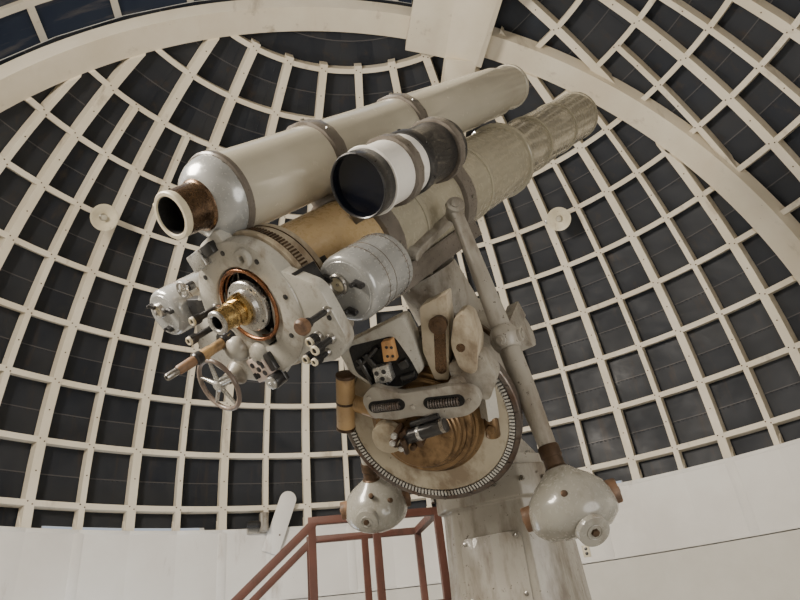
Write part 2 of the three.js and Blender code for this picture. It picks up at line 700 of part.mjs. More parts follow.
function pier() {
  const rows = [];
  const plinth = PIER_FOOT_HALF + PIER_PLINTH;
  const collar = PIER_HALF + PIER_COLLAR;
  const collarUnder = PIER_TOP - PIER_COLLAR_HIGH;
  for (const [z, half] of [[FLOOR_TOP + SEAT, plinth], [FLOOR_TOP + 90, plinth], [FLOOR_TOP + 91, PIER_FOOT_HALF],
    [collarUnder, PIER_HALF], [collarUnder + 1, collar], [PIER_TOP, collar]]) {
    const row = [];
    for (let i = 0; i < 16; i += 1) {
      const a = (2 * Math.PI * (i + 0.5)) / 16;
      const flat = 1 / Math.max(Math.abs(Math.cos(a)), Math.abs(Math.sin(a)));
      const reach = half * Math.min(flat, 1.22);
      row.push(vec(reach * Math.cos(a), reach * Math.sin(a), z));
    }
    rows.push(row);
  }
  return toSolid(loft(rows, false)).rotate([0, 0, POLAR_AZIMUTH - 90]).translate([pierAt.x, pierAt.y, 0]);
}

function alongPolar(u) {
  return cross.clone().add(polarAxis.clone().multiplyScalar(u));
}

function polarBase() {
  const floorZ = PIER_TOP + SEAT - cross.z;
  const lean = rad(POLAR_ELEVATION);
  const besideAxis = (u, v) => [
    u * Math.cos(lean) + v * Math.sin(lean),
    u * Math.sin(lean) - v * Math.cos(lean),
  ];
  const outline = [
    [-140, floorZ], [360, floorZ], [360, floorZ + 90], besideAxis(BEARING_TO - 20, 330),
    besideAxis(BEARING_TO - 20, 60), besideAxis(BEARING_FROM + 15, 100),
  ];
  const shape = new THREE.Shape(outline.map(([s, z]) => new THREE.Vector2(s, z)));
  const web = new THREE.ExtrudeGeometry(shape, { depth: 2 * WEB_HALF, bevelEnabled: false });
  web.translate(0, 0, -WEB_HALF);
  web.applyMatrix4(new THREE.Matrix4().makeBasis(north, vec(0, 0, 1), north.clone().cross(vec(0, 0, 1))));
  web.translate(cross.x, cross.y, cross.z);
  const flange = new THREE.CylinderGeometry(PIER_HALF - 10, PIER_HALF - 10, FLANGE_THICK, 20);
  flange.rotateX(Math.PI / 2);
  flange.translate(pierAt.x, pierAt.y, PIER_TOP + SEAT + FLANGE_THICK / 2);
  const body = union([
    toSolid(web),
    toSolid(flange),
    rod(alongPolar(BEARING_FROM), alongPolar(BEARING_TO), BEARING_RADIUS, BEARING_RADIUS, 24),
  ]);
  const bore = running(SHAFT_RADIUS, SHAFT_SIDES);
  return body.subtract(rod(alongPolar(BEARING_FROM - 50), alongPolar(BEARING_TO + 50), bore, bore, SHAFT_SIDES));
}

add('pier', pier(), WHITE, 0.5, 0.1);
add('polar_base', polarBase(), CASTING, 0.5, 0.2);

// Polar head, in its own frame: X along the declination axis, Z along the polar axis

const polarFrame = new THREE.Group();
polarFrame.applyMatrix4(new THREE.Matrix4().makeBasis(decAxis, polarAxis.clone().cross(decAxis), polarAxis));
polarFrame.position.copy(cross);
group.add(polarFrame);

const ROD_TOP = vec(600, 310, -140);
const ROD_TOP_FAR = vec(400, -330, -330);
const WEIGHT_NEAR = vec(-404, 378, -892);
const WEIGHT_FAR = vec(-400, -620, -430);
const LEVER_PLAY = 0.5;
const EAR_NEAR = ROD_TOP.clone().lerp(WEIGHT_NEAR, 0.5);
const EAR_FAR = ROD_TOP_FAR.clone().lerp(WEIGHT_FAR, 0.5);

// The rounded joint in which the ear holds a lever.
function jointBall(top, ear) {
  const profile = [[0, -46], [42, -46], [54, -26], [60, 0], [54, 26], [42, 46], [0, 46]];
  return spindle(profile, ear, ear.clone().multiplyScalar(2).sub(top), 20);
}

function polarHead() {
  const decBore = running(DEC_SHAFT_RADIUS, SHAFT_SIDES);
  return union([
    rod(vec(0, 0, GEAR_UNDER + GEAR_CLOSED), vec(0, 0, -200), SHAFT_RADIUS, SHAFT_RADIUS, SHAFT_SIDES),
    rod(vec(0, 0, BEARING_TO + RUNNING), vec(0, 0, 190), HEAD_RADIUS, HEAD_RADIUS - 45, 20),
    rod(vec(-200, 0, 0), vec(DEC_ARM - MAIN_RADIUS - 75, 0, 0), DEC_HOUSING_RADIUS, DEC_HOUSING_RADIUS - 15, 20),
    rod(vec(0, EAR_FAR.y, -180), vec(0, EAR_NEAR.y, -180), 75, 75, 12),
    bar(EAR_NEAR.clone().setZ(-180), EAR_NEAR, 70, 50),
    bar(EAR_FAR.clone().setZ(-180), EAR_FAR, 70, 50),
    jointBall(ROD_TOP, EAR_NEAR),
    jointBall(ROD_TOP_FAR, EAR_FAR),
  ]).subtract(lever(ROD_TOP, WEIGHT_NEAR, EAR_NEAR, LEVER_PLAY))
    .subtract(lever(ROD_TOP_FAR, WEIGHT_FAR, EAR_FAR, LEVER_PLAY))
    .subtract(rod(vec(DEC_ARM - MAIN_RADIUS - 200, 0, 0), vec(DEC_ARM, 0, 0), decBore, decBore, SHAFT_SIDES));
}

// The worm wheel's teeth are finer than this solid: it is the disc through their tips.
function gear() {
  const bore = (SHAFT_RADIUS + SEAT) / Math.cos(Math.PI / 30);
  const end = GEAR_UNDER + GEAR_CLOSED - SEAT;
  return lathe([
    [0, GEAR_UNDER], [GEAR_RADIUS, GEAR_UNDER], [GEAR_RADIUS, GEAR_UNDER + GEAR_THICK],
    [bore, GEAR_UNDER + GEAR_THICK], [bore, end], [0, end],
  ], 0, 0, 30);
}

// A flat plate of the given outline.
function slab(outline, low, high) {
  const shape = new THREE.Shape(outline.map(([x, y]) => new THREE.Vector2(x, y)));
  const plate = new THREE.ExtrudeGeometry(shape, { depth: high - low, bevelEnabled: false });
  return toSolid(plate.translate(0, 0, low));
}

// The slow-motion works in front of the worm wheel: a stepped drum, castings beside it, a cap and two motors
const WORKS_STEPS = [[185, -800], [150, -830], [130, -860]];
const WORKS_PLATE = [[211, -105], [242, -42], [176, 37], [148, 144], [130, 232], [84, 294], [33, 285], [11, 223],
  [30, 135], [77, 61], [94, -34], [137, -108]];
const WORKS_BRACKET = [[293, -135], [WORKS_REACH, -134], [WORKS_REACH, 161], [337, 157], [196, 127], [167, 2],
  [222, -89]];
const WORKS_FORK = [[386, 223], [WORKS_REACH, 231], [WORKS_REACH, 336], [312, 296], [128, 190], [148, 144],
  [256, 158]];
const WORKS_OVAL = [[332, 336], [312, 378], [213, 361], [115, 299], [150, 256], [246, 271]];
const WORKS_SIDE = [[188, 222], [175, 340], [76, 354], [8, 286], [41, 257], [108, 204]];
const WORKS_THICK = 35;
const WORKS_CAP = { x: 40, y: -99, radius: 60, deep: 30 };
const WORKS_POST = { x: 112, y: 222, radius: 30 };
const TOP_MOTOR = { from: [17, -31], to: [21, 147], radius: 42 };
const SIDE_MOTOR = { from: [60, 293], to: [-128, 220], radius: 26 };
const LOW_DRUM = { from: [297, -163], to: [105, -286], radius: 35 };
const LOW_ARM = { from: [110, -130], to: [200, -225], radius: 30 };

function lying(round, z) {
  return rod(vec(...round.from, z), vec(...round.to, z), round.radius, round.radius, 14);
}

function polarWorks() {
  const rest = GEAR_UNDER - SEAT;
  const cap = WORKS_CAP;
  const post = WORKS_POST;
  const [[r1, z1], [r2, z2], [r3, z3]] = WORKS_STEPS;
  return union([
    lathe([[0, z3], [r3, z3], [r3, z2], [r2, z2], [r2, z1], [r1, z1], [r1, rest], [0, rest]], 0, 0, 24),
    slab(WORKS_PLATE, z3 - WORKS_THICK, z3 + 5),
    lathe([[0, z3 - cap.deep], [cap.radius - 8, z3 - cap.deep], [cap.radius, z3 - cap.deep + 10],
      [cap.radius, z3 + 10], [0, z3 + 10]], cap.x, cap.y, 16),
    lying(TOP_MOTOR, z3 - 40),
    slab(WORKS_BRACKET, z1 - 15, rest),
    slab(WORKS_FORK, z1 - 15, rest),
    slab(WORKS_OVAL, z2 - 20, rest),
    slab(WORKS_SIDE, z2 - 5, rest),
    rod(vec(post.x, post.y, z3 - 10), vec(post.x, post.y, rest - 20), post.radius, post.radius, 12),
    lying(SIDE_MOTOR, z1 + 10),
    lying(LOW_DRUM, z1),
    lying(LOW_ARM, z1 + 15),
  ]);
}

// A weighted lever with its ball joint where it passes the ear; grow widens it all over, for its bore.
function lever(top, weight, ear, grow = 0) {
  const along = weight.clone().sub(top).normalize();
  const w = WEIGHT_RADIUS;
  const length = weight.distanceTo(top);
  const boss = along.dot(ear.clone().sub(top));
  const profile = [
    [34, -34], [34, 34], [27, 44], [30, boss - 35 - grow], [38, boss - 34 - grow], [38, boss + 34 + grow],
    [32, boss + 35 + grow], [36, length - w - 90], [60, length - w - 89], [w * 0.8, length - w * 0.55],
    [w, length], [w * 0.72, length + w * 0.62],
  ];
  const ends = [[0, -40], ...profile.map(([r, d]) => [r + grow, d]), [0, length + w * 0.66]];
  return spindle(ends, top, weight, 14);
}

add('polar_head', polarHead(), CASTING, 0.5, 0.3, polarFrame);
add('polar_gear', gear(), DARK_CASTING, 0.45, 0.7, polarFrame);
add('polar_works', polarWorks(), CASTING, 0.5, 0.3, polarFrame);
add('lever_near', lever(ROD_TOP, WEIGHT_NEAR, EAR_NEAR), TUBE, 0.5, 0.3, polarFrame);
add('lever_far', lever(ROD_TOP_FAR, WEIGHT_FAR, EAR_FAR), TUBE, 0.5, 0.3, polarFrame);

// Tubes, in their own frame: X along the declination axis, Z along the tube

const tubeFrame = new THREE.Group();
tubeFrame.applyMatrix4(new THREE.Matrix4().makeBasis(decAxis, tubeAxis.clone().cross(decAxis), tubeAxis));
tubeFrame.position.copy(cross).add(decAxis.clone().multiplyScalar(DEC_ARM));
group.add(tubeFrame);

function mainTube() {
  const w = TUBE_WALL;
  const a = BREECH_AT + BREECH_HALF + SEAT;
  return lathe([
    [MAIN_RADIUS - w, a], [MAIN_RADIUS, a], [MAIN_RADIUS, COLLAR_AT - 40], [MAIN_RADIUS + 18, COLLAR_AT - 40],
    [MAIN_RADIUS + 18, COLLAR_AT], [DEW_RADIUS + 6, COLLAR_AT + 12], [DEW_RADIUS, COLLAR_AT + 20],
    [DEW_RADIUS, DEW_END], [DEW_RADIUS - w, DEW_END], [DEW_RADIUS - w, COLLAR_AT - 10],
    [MAIN_RADIUS - w, COLLAR_AT - 22],
  ], 0, 0, 24);
}

// The breech plate, whose lobes and arms carry the two drums, the handwheel's bearing and the eyepieces
const LOBE_NEAR = [[100, 190], [-42, 359], [-243, 349], [-289, 261], [-266, 96], [-160, 20]];
const LOBE_LOW = [[170, -140], [121, -261], [-30, -430], [-130, -400], [-215, -305], [-285, -105], [-240, 20],
  [-60, -60]];
function breech() {
  const front = BREECH_AT - BREECH_HALF;
  const back = BREECH_AT + BREECH_HALF;
  const base = BREECH_AT - BREECH_HALF + 10;
  const plate = lathe([[60, front], [BREECH_RADIUS, front], [BREECH_RADIUS, back], [60, back]], 0, 0, 24);
  const tail = lathe([[40, TAIL_END], [60, TAIL_END], [60, TAIL_END + 90], [110, TAIL_END + 90],
    [TAIL_RADIUS, front - 10], [TAIL_RADIUS, base], [40, base]], 0, 0, 20);
  const [x, y, z] = WHEEL_AT;
  return union([
    plate,
    slab(LOBE_NEAR, BREECH_AT - LOBE_HALF, BREECH_AT + LOBE_HALF),
    slab(LOBE_LOW, BREECH_AT - LOBE_HALF, BREECH_AT + LOBE_HALF),
    tail,
    rod(vec(x, y, base), vec(x, y, z + 40), 34, 26, 12),
    rod(vec(EYEPIECE.x, EYEPIECE.y, base), vec(EYEPIECE.x, EYEPIECE.y, EYEPIECE.end), EYEPIECE.radius, 15, 12),
    box(-50, 30, MAIN_RADIUS + 4, DRUM_NEAR.y - 45, base, DRUM_NEAR.from + 95),
    bar(vec(DRUM_FAR.x * 0.5, DRUM_FAR.y * 0.5, BREECH_AT), vec(DRUM_FAR.x * 0.9, DRUM_FAR.y * 0.9, BREECH_AT),
      BREECH_ARM, BREECH_ARM_THICK),
  ]).subtract(drum(DRUM_NEAR, SEAT)).subtract(drum(DRUM_FAR, SEAT));
}

function guideTube() {
  const w = TUBE_WALL;
  const g = GUIDE_RADIUS;
  return lathe([
    [48, GUIDE_FROM - 230], [62, GUIDE_FROM - 230], [62, GUIDE_FROM - 215], [70, GUIDE_FROM - 150],
    [115, GUIDE_FROM - 40], [g + 14, GUIDE_FROM - 30], [g + 14, GUIDE_FROM], [g, GUIDE_FROM],
    [g, GUIDE_TO - 260], [g - 12, GUIDE_TO - 250], [g - 12, GUIDE_TO], [g - 12 - w, GUIDE_TO],
    [g - 12 - w, GUIDE_FROM + 20], [105, GUIDE_FROM - 20], [48, GUIDE_FROM - 150],
  ], GUIDE_X, GUIDE_Y, 16);
}

function finderTube() {
  const f = FINDER_RADIUS;
  return lathe([
    [f - 8, FINDER_FROM], [f, FINDER_FROM], [f, FINDER_FROM + 60], [f + 9, FINDER_FROM + 62],
    [f + 9, FINDER_FROM + 90], [f, FINDER_FROM + 92], [f, FINDER_TO - 230], [f + 9, FINDER_TO - 228],
    [f + 9, FINDER_TO - 205], [f, FINDER_TO - 203], [f, FINDER_TO], [f - 8, FINDER_TO],
    [f - 8, FINDER_FROM + 40], [0, FINDER_FROM + 30], [0, FINDER_FROM + 20], [f - 8, FINDER_FROM + 10],
  ], FINDER_X, FINDER_Y, 16);
}

// A closed drum with rounded ends; grow widens it all over, for the hollow that it rests in.
function drum(at, grow = 0) {
  const r = at.radius + grow;
  const front = at.from - grow;
  const back = at.to + grow;
  return lathe([[0, front], [r - DRUM_EDGE, front], [r, front + DRUM_EDGE], [r, back - DRUM_EDGE],
    [r - DRUM_EDGE, back], [0, back]], at.x, at.y, 24);
}

// The saddle carries the main tube on the declination shaft and holds the two other tubes in rings.
function saddle() {
  const turnedRing = (inner, outer, x, y, z, half, sides) => lathe([
    [inner, z - half], [outer, z - half], [outer, z + half], [inner, z + half],
  ], x, y, sides);
  const hold = [-330, 330];
  const m = MAIN_RADIUS;
  const f = FINDER_RADIUS;
  const bore = (x, y, r, sides) => rod(vec(x, y, -900), vec(x, y, 900), r + SEAT, r + SEAT, sides);
  const parts = [
    box(-m - 60, -m + 30, -130, 130, -390, 390),
    rod(vec(-m - 190, 0, 0), vec(-m - 30, 0, 0), DEC_SHAFT_RADIUS, DEC_SHAFT_RADIUS, SHAFT_SIDES),
    box(70, 120, 195, 285, -480, 40),
  ];
  for (const z of hold) {
    parts.push(turnedRing(m - 20, m + 26, 0, 0, z, 45, 24));
    parts.push(turnedRing(GUIDE_RADIUS - 20, GUIDE_RADIUS + 18, GUIDE_X, GUIDE_Y, z, 30, 16));
    parts.push(box(m - 30, m + 70, -70, 90, z - 28, z + 28));
  }
  for (const z of [-440, -120]) {
    parts.push(turnedRing(f - 20, f + 16, FINDER_X, FINDER_Y, z, 20, 16));
    parts.push(box(78, 150, 270, 350, z - 18, z + 18));
  }
  parts.push(box(78, 112, 150, 230, -360, -300));
  return largest(union(parts).subtract(bore(0, 0, m, 24)).subtract(bore(GUIDE_X, GUIDE_Y, GUIDE_RADIUS, 16))
    .subtract(bore(FINDER_X, FINDER_Y, f, 16)));
}

add('main_tube', mainTube(), TUBE, 0.4, 0.3, tubeFrame);
add('breech', breech(), WHITE, 0.4, 0.4, tubeFrame);
add('guide_tube', guideTube(), TUBE, 0.35, 0.4, tubeFrame);
add('finder_tube', finderTube(), '#c8c8c4', 0.4, 0.2, tubeFrame);
add('drum_near', drum(DRUM_NEAR), TUBE, 0.4, 0.3, tubeFrame);
add('drum_far', drum(DRUM_FAR), TUBE, 0.4, 0.3, tubeFrame);
add('saddle', saddle(), DARK_CASTING, 0.5, 0.4, tubeFrame);

function handwheel() {
  const [x, y, z] = WHEEL_AT;
  const reach = WHEEL_RADIUS - WHEEL_RIM;
  const rim = new THREE.TorusGeometry(reach, WHEEL_RIM, 5, 20);
  rim.translate(x, y, z);
  const parts = [toSolid(rim), rod(vec(x, y, z - 16), vec(x, y, z + 40 - SEAT), 20, 18, 6)];
  for (let i = 0; i < 5; i += 1) {
    const a = (2 * Math.PI * i) / 5;
    parts.push(rod(vec(x, y, z), vec(x + reach * Math.cos(a), y + reach * Math.sin(a), z), 7, 5, 4));
  }
  return union(parts);
}

add('handwheel', handwheel(), CASTING, 0.35, 0.6, tubeFrame);

// Observing stair with its handrails

function stairFlight() {
  const [x0, x1] = STAIR_X;
  const [y0, y1] = STAIR_Y;
  const rise = (STAIR_TOP - FLOOR_TOP) / (STAIR_STEPS + 1);
  const run = STAIR_GOING * STAIR_STEPS;
  const parts = [box(x0, x1, y0, y1, STAIR_TOP - 50, STAIR_TOP)];
  for (let i = 1; i <= STAIR_STEPS; i += 1) {
    const z = STAIR_TOP - rise * i;
    const y = y0 - STAIR_GOING * i;
    parts.push(box(x0 + 20, x1 - 20, y, y + 240, z - 30, z));
  }
  const slope = (z) => [vec(0, y0 + 60, STAIR_TOP - 25 + z), vec(0, y0 - run - 60, FLOOR_TOP + 50 + z)];
  for (const x of [x0 + 25, x1 - 25]) {
    const [a, b] = slope(-100);
    parts.push(bar(vec(x, a.y, a.z), vec(x, b.y, b.z), 50, 160));
    for (const y of [y0 + 25, y1 - 25]) parts.push(box(x - 25, x + 25, y - 25, y + 25, FLOOR_TOP + SEAT, STAIR_TOP - 20));
  }
  const ground = box(-3000, 3000, -3000, 3000, -10, FLOOR_TOP + SEAT);
  return union(parts).subtract(ground);
}

function stairRailing() {
  const [x0, x1] = STAIR_X;
  const [y0, y1] = STAIR_Y;
  const run = STAIR_GOING * STAIR_STEPS;
  const drop = STAIR_TOP - FLOOR_TOP - 100;
  const b = STAIR_BAR;
  const parts = [];
  const base = STAIR_TOP + SEAT;
  for (const x of [x0 + b / 2, x1 - b / 2]) {
    for (const y of [y0 + b / 2, (y0 + y1) / 2, y1 - b / 2]) {
      parts.push(box(x - b / 2, x + b / 2, y - b / 2, y + b / 2, base, base + STAIR_RAIL));
    }
    for (const h of [STAIR_RAIL - b / 2, STAIR_RAIL / 2]) {
      parts.push(box(x - b / 2, x + b / 2, y0, y1, base + h - b / 2, base + h + b / 2));
      parts.push(bar(vec(x, y0 + b, base + h), vec(x, y0 - run, base + h - drop), b, b));
    }
    const foot = base - drop + STAIR_RAIL;
    parts.push(box(x - b / 2, x + b / 2, y0 - run - b / 2, y0 - run + b / 2, foot - STAIR_RAIL + 130, foot));
  }
  for (const h of [STAIR_RAIL - b / 2, STAIR_RAIL / 2]) {
    parts.push(box(x0, x1, y1 - b, y1, base + h - b / 2, base + h + b / 2));
  }
  return union(parts);
}

add('stair_flight', stairFlight(), RED_STEEL, 0.6, 0.3);
add('stair_railing', stairRailing(), RED_STEEL, 0.55, 0.3);

export default group;
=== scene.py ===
import bmesh
import bpy
from math import asin, atan, atan2, cos, hypot, pi, radians, sin, tan
from mathutils import Matrix, Vector


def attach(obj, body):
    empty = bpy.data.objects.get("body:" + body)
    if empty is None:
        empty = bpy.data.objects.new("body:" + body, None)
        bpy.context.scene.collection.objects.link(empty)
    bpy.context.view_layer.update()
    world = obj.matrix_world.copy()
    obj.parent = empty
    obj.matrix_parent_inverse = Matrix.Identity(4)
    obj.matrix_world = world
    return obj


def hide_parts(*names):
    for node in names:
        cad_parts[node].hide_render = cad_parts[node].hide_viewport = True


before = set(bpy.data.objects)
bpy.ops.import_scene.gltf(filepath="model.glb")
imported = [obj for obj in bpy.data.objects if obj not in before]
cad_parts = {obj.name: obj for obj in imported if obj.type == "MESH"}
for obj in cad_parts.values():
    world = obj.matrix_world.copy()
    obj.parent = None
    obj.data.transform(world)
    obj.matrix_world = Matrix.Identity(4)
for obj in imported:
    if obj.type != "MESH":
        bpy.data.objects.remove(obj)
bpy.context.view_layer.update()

# Axes of the telescope, as the solids have them
cross = Vector((0.355, 0.201, 2.918))
decAxis = Vector((0.4559838, -0.4932802, 0.7407789))
tubeAxis = Vector((-0.3573194, 0.6608484, 0.6600017))
polarAxis = Vector((-0.5848974, 0.4612615, 0.6671828))
domeCentre = Vector((0, 0, 3.32))


def axesMatrix(origin, x, z):
    turn = Matrix((x, z.cross(x), z)).transposed().to_4x4()
    return Matrix.Translation(origin) @ turn


tubeFrame = axesMatrix(cross + decAxis * 0.679, decAxis, tubeAxis)
polarFrame = axesMatrix(cross, decAxis, polarAxis)
world = Matrix.Identity(4)

# Camera, lights and floor

cameraValues = {
    "place": (2.925, -0.6275, 1.727),
    "right": (0.1437, 0.9841, -0.1047),
    "up": (0.4940, 0.0204, 0.8692),
    "lens": 27.504,
}

lightValues = {
    "sky": (0.70, 0.78, 0.90),
    "skyPower": 0.7,
    "keyPlace": (1.7, -3.3, 4.7),
    "keyTarget": (-0.1, 0.3, 3.3),
    "keySize": 1.5,
    "keyPower": 360,
    "fillPlace": (3.4, 1.5, 1.5),
    "fillTarget": (-2.0, 0.6, 4.2),
    "fillSize": 2.2,
    "fillPower": 55,
    "lowPlace": (-2.6, -2.0, 1.0),
    "lowTarget": (-3.2, 0.6, 4.2),
    "lowSize": 2.2,
    "lowPower": 40,
    "sunTurn": (0.72, 0.10, -0.35),
    "sunPower": 2.6,
}


def setCamera(values):
    data = bpy.data.cameras.new("viewCamera")
    data.sensor_fit = "HORIZONTAL"
    data.sensor_width = 36
    data.lens = values["lens"]
    data.clip_start = 0.05
    data.clip_end = 300
    right = Vector(values["right"]).normalized()
    back = right.cross(Vector(values["up"])).normalized()
    turn = Matrix((right, back.cross(right), back)).transposed().to_4x4()
    obj = bpy.data.objects.new("viewCamera", data)
    bpy.context.scene.collection.objects.link(obj)
    obj.matrix_world = Matrix.Translation(values["place"]) @ turn
    bpy.context.scene.camera = obj


def areaLight(name, place, target, size, power, colour):
    data = bpy.data.lights.new(name, "AREA")
    data.shape = "DISK"
    data.size = size
    data.energy = power
    data.color = colour
    obj = bpy.data.objects.new(name, data)
    bpy.context.scene.collection.objects.link(obj)
    toward = Vector(target) - Vector(place)
    obj.matrix_world = Matrix.Translation(place) @ toward.to_track_quat("-Z", "Y").to_matrix().to_4x4()


def setLights(values):
    sky = bpy.data.worlds.new("softSky")
    sky.use_nodes = True
    shade = sky.node_tree.nodes["Background"]
    shade.inputs["Color"].default_value = (*values["sky"], 1)
    shade.inputs["Strength"].default_value = values["skyPower"]
    bpy.context.scene.world = sky
    areaLight("keyLight", values["keyPlace"], values["keyTarget"], values["keySize"], values["keyPower"],
        (1.0, 0.90, 0.76))
    areaLight("fillLight", values["fillPlace"], values["fillTarget"], values["fillSize"], values["fillPower"],
        (1.0, 0.95, 0.88))
    areaLight("lowLight", values["lowPlace"], values["lowTarget"], values["lowSize"], values["lowPower"],
        (0.86, 0.92, 1.0))
    sun = bpy.data.lights.new("sunLight", "SUN")
    sun.energy = values["sunPower"]
    sun.angle = 0.03
    sun.color = (1.0, 0.93, 0.82)
    obj = bpy.data.objects.new("sunLight", sun)
    bpy.context.scene.collection.objects.link(obj)
    obj.rotation_euler = values["sunTurn"]


setCamera(cameraValues)
setLights(lightValues)
print("camera and lights set")

# Node helpers


def wire(tree, value, socket):
    if isinstance(value, bpy.types.NodeSocket):
        tree.links.new(value, socket)
    elif isinstance(value, tuple) and len(value) == 3 and socket.type == "RGBA":
        socket.default_value = (*value, 1)
    else:
        socket.default_value = value


def maths(tree, operation, a, b=0.0):
    node = tree.nodes.new("ShaderNodeMath")
    node.operation = operation
    for value, socket in zip((a, b), node.inputs):
        wire(tree, value, socket)
    return node.outputs[0]


def plus(tree, a, b):
    return maths(tree, "ADD", a, b)


def minus(tree, a, b):
    return maths(tree, "SUBTRACT", a, b)


def times(tree, a, b):
    return maths(tree, "MULTIPLY", a, b)


def scaled(tree, value, fromLow, fromHigh, toLow, toHigh):
    node = tree.nodes.new("ShaderNodeMapRange")
    for entry, socket in zip((value, fromLow, fromHigh, toLow, toHigh), node.inputs):
        wire(tree, entry, socket)
    return node.outputs[0]


def stretched(tree, place, stretch, turn=(0, 0, 0), offset=(0, 0, 0)):
    node = tree.nodes.new("ShaderNodeMapping")
    tree.links.new(place, node.inputs["Vector"])
    node.inputs["Scale"].default_value = stretch
    node.inputs["Rotation"].default_value = turn
    node.inputs["Location"].default_value = offset
    return node.outputs[0]


def cloudy(tree, place, scale, detail=4.0, rough=0.55):
    node = tree.nodes.new("ShaderNodeTexNoise")
    tree.links.new(place, node.inputs["Vector"])
    node.inputs["Scale"].default_value = scale
    node.inputs["Detail"].default_value = detail
    node.inputs["Roughness"].default_value = rough
    return node.outputs[0]


def blended(tree, amount, a, b):
    node = tree.nodes.new("ShaderNodeMix")
    node.data_type = "RGBA"
    wire(tree, amount, node.inputs[0])
    wire(tree, a, node.inputs[6])
    wire(tree, b, node.inputs[7])
    return node.outputs[2]


def raised(tree, shader, height, strength, distance):
    node = tree.nodes.new("ShaderNodeBump")
    node.inputs["Strength"].default_value = strength
    node.inputs["Distance"].default_value = distance
    tree.links.new(height, node.inputs["Height"])
    tree.links.new(node.outputs[0], shader.inputs["Normal"])


def newPaint(name, metallic=0.0, coat=0.0):
    material = bpy.data.materials.new(name)
    material.use_nodes = True
    tree = material.node_tree
    shader = tree.nodes["Principled BSDF"]
    shader.inputs["Metallic"].default_value = metallic
    shader.inputs["Coat Weight"].default_value = coat
    place = tree.nodes.new("ShaderNodeTexCoord").outputs["Object"]
    return material, tree, shader, place


# Finishes: two tones of the paint or metal, its grime and its chips or rust with the noise level where
# each begins, the size of its patches, and how rough and uneven it is

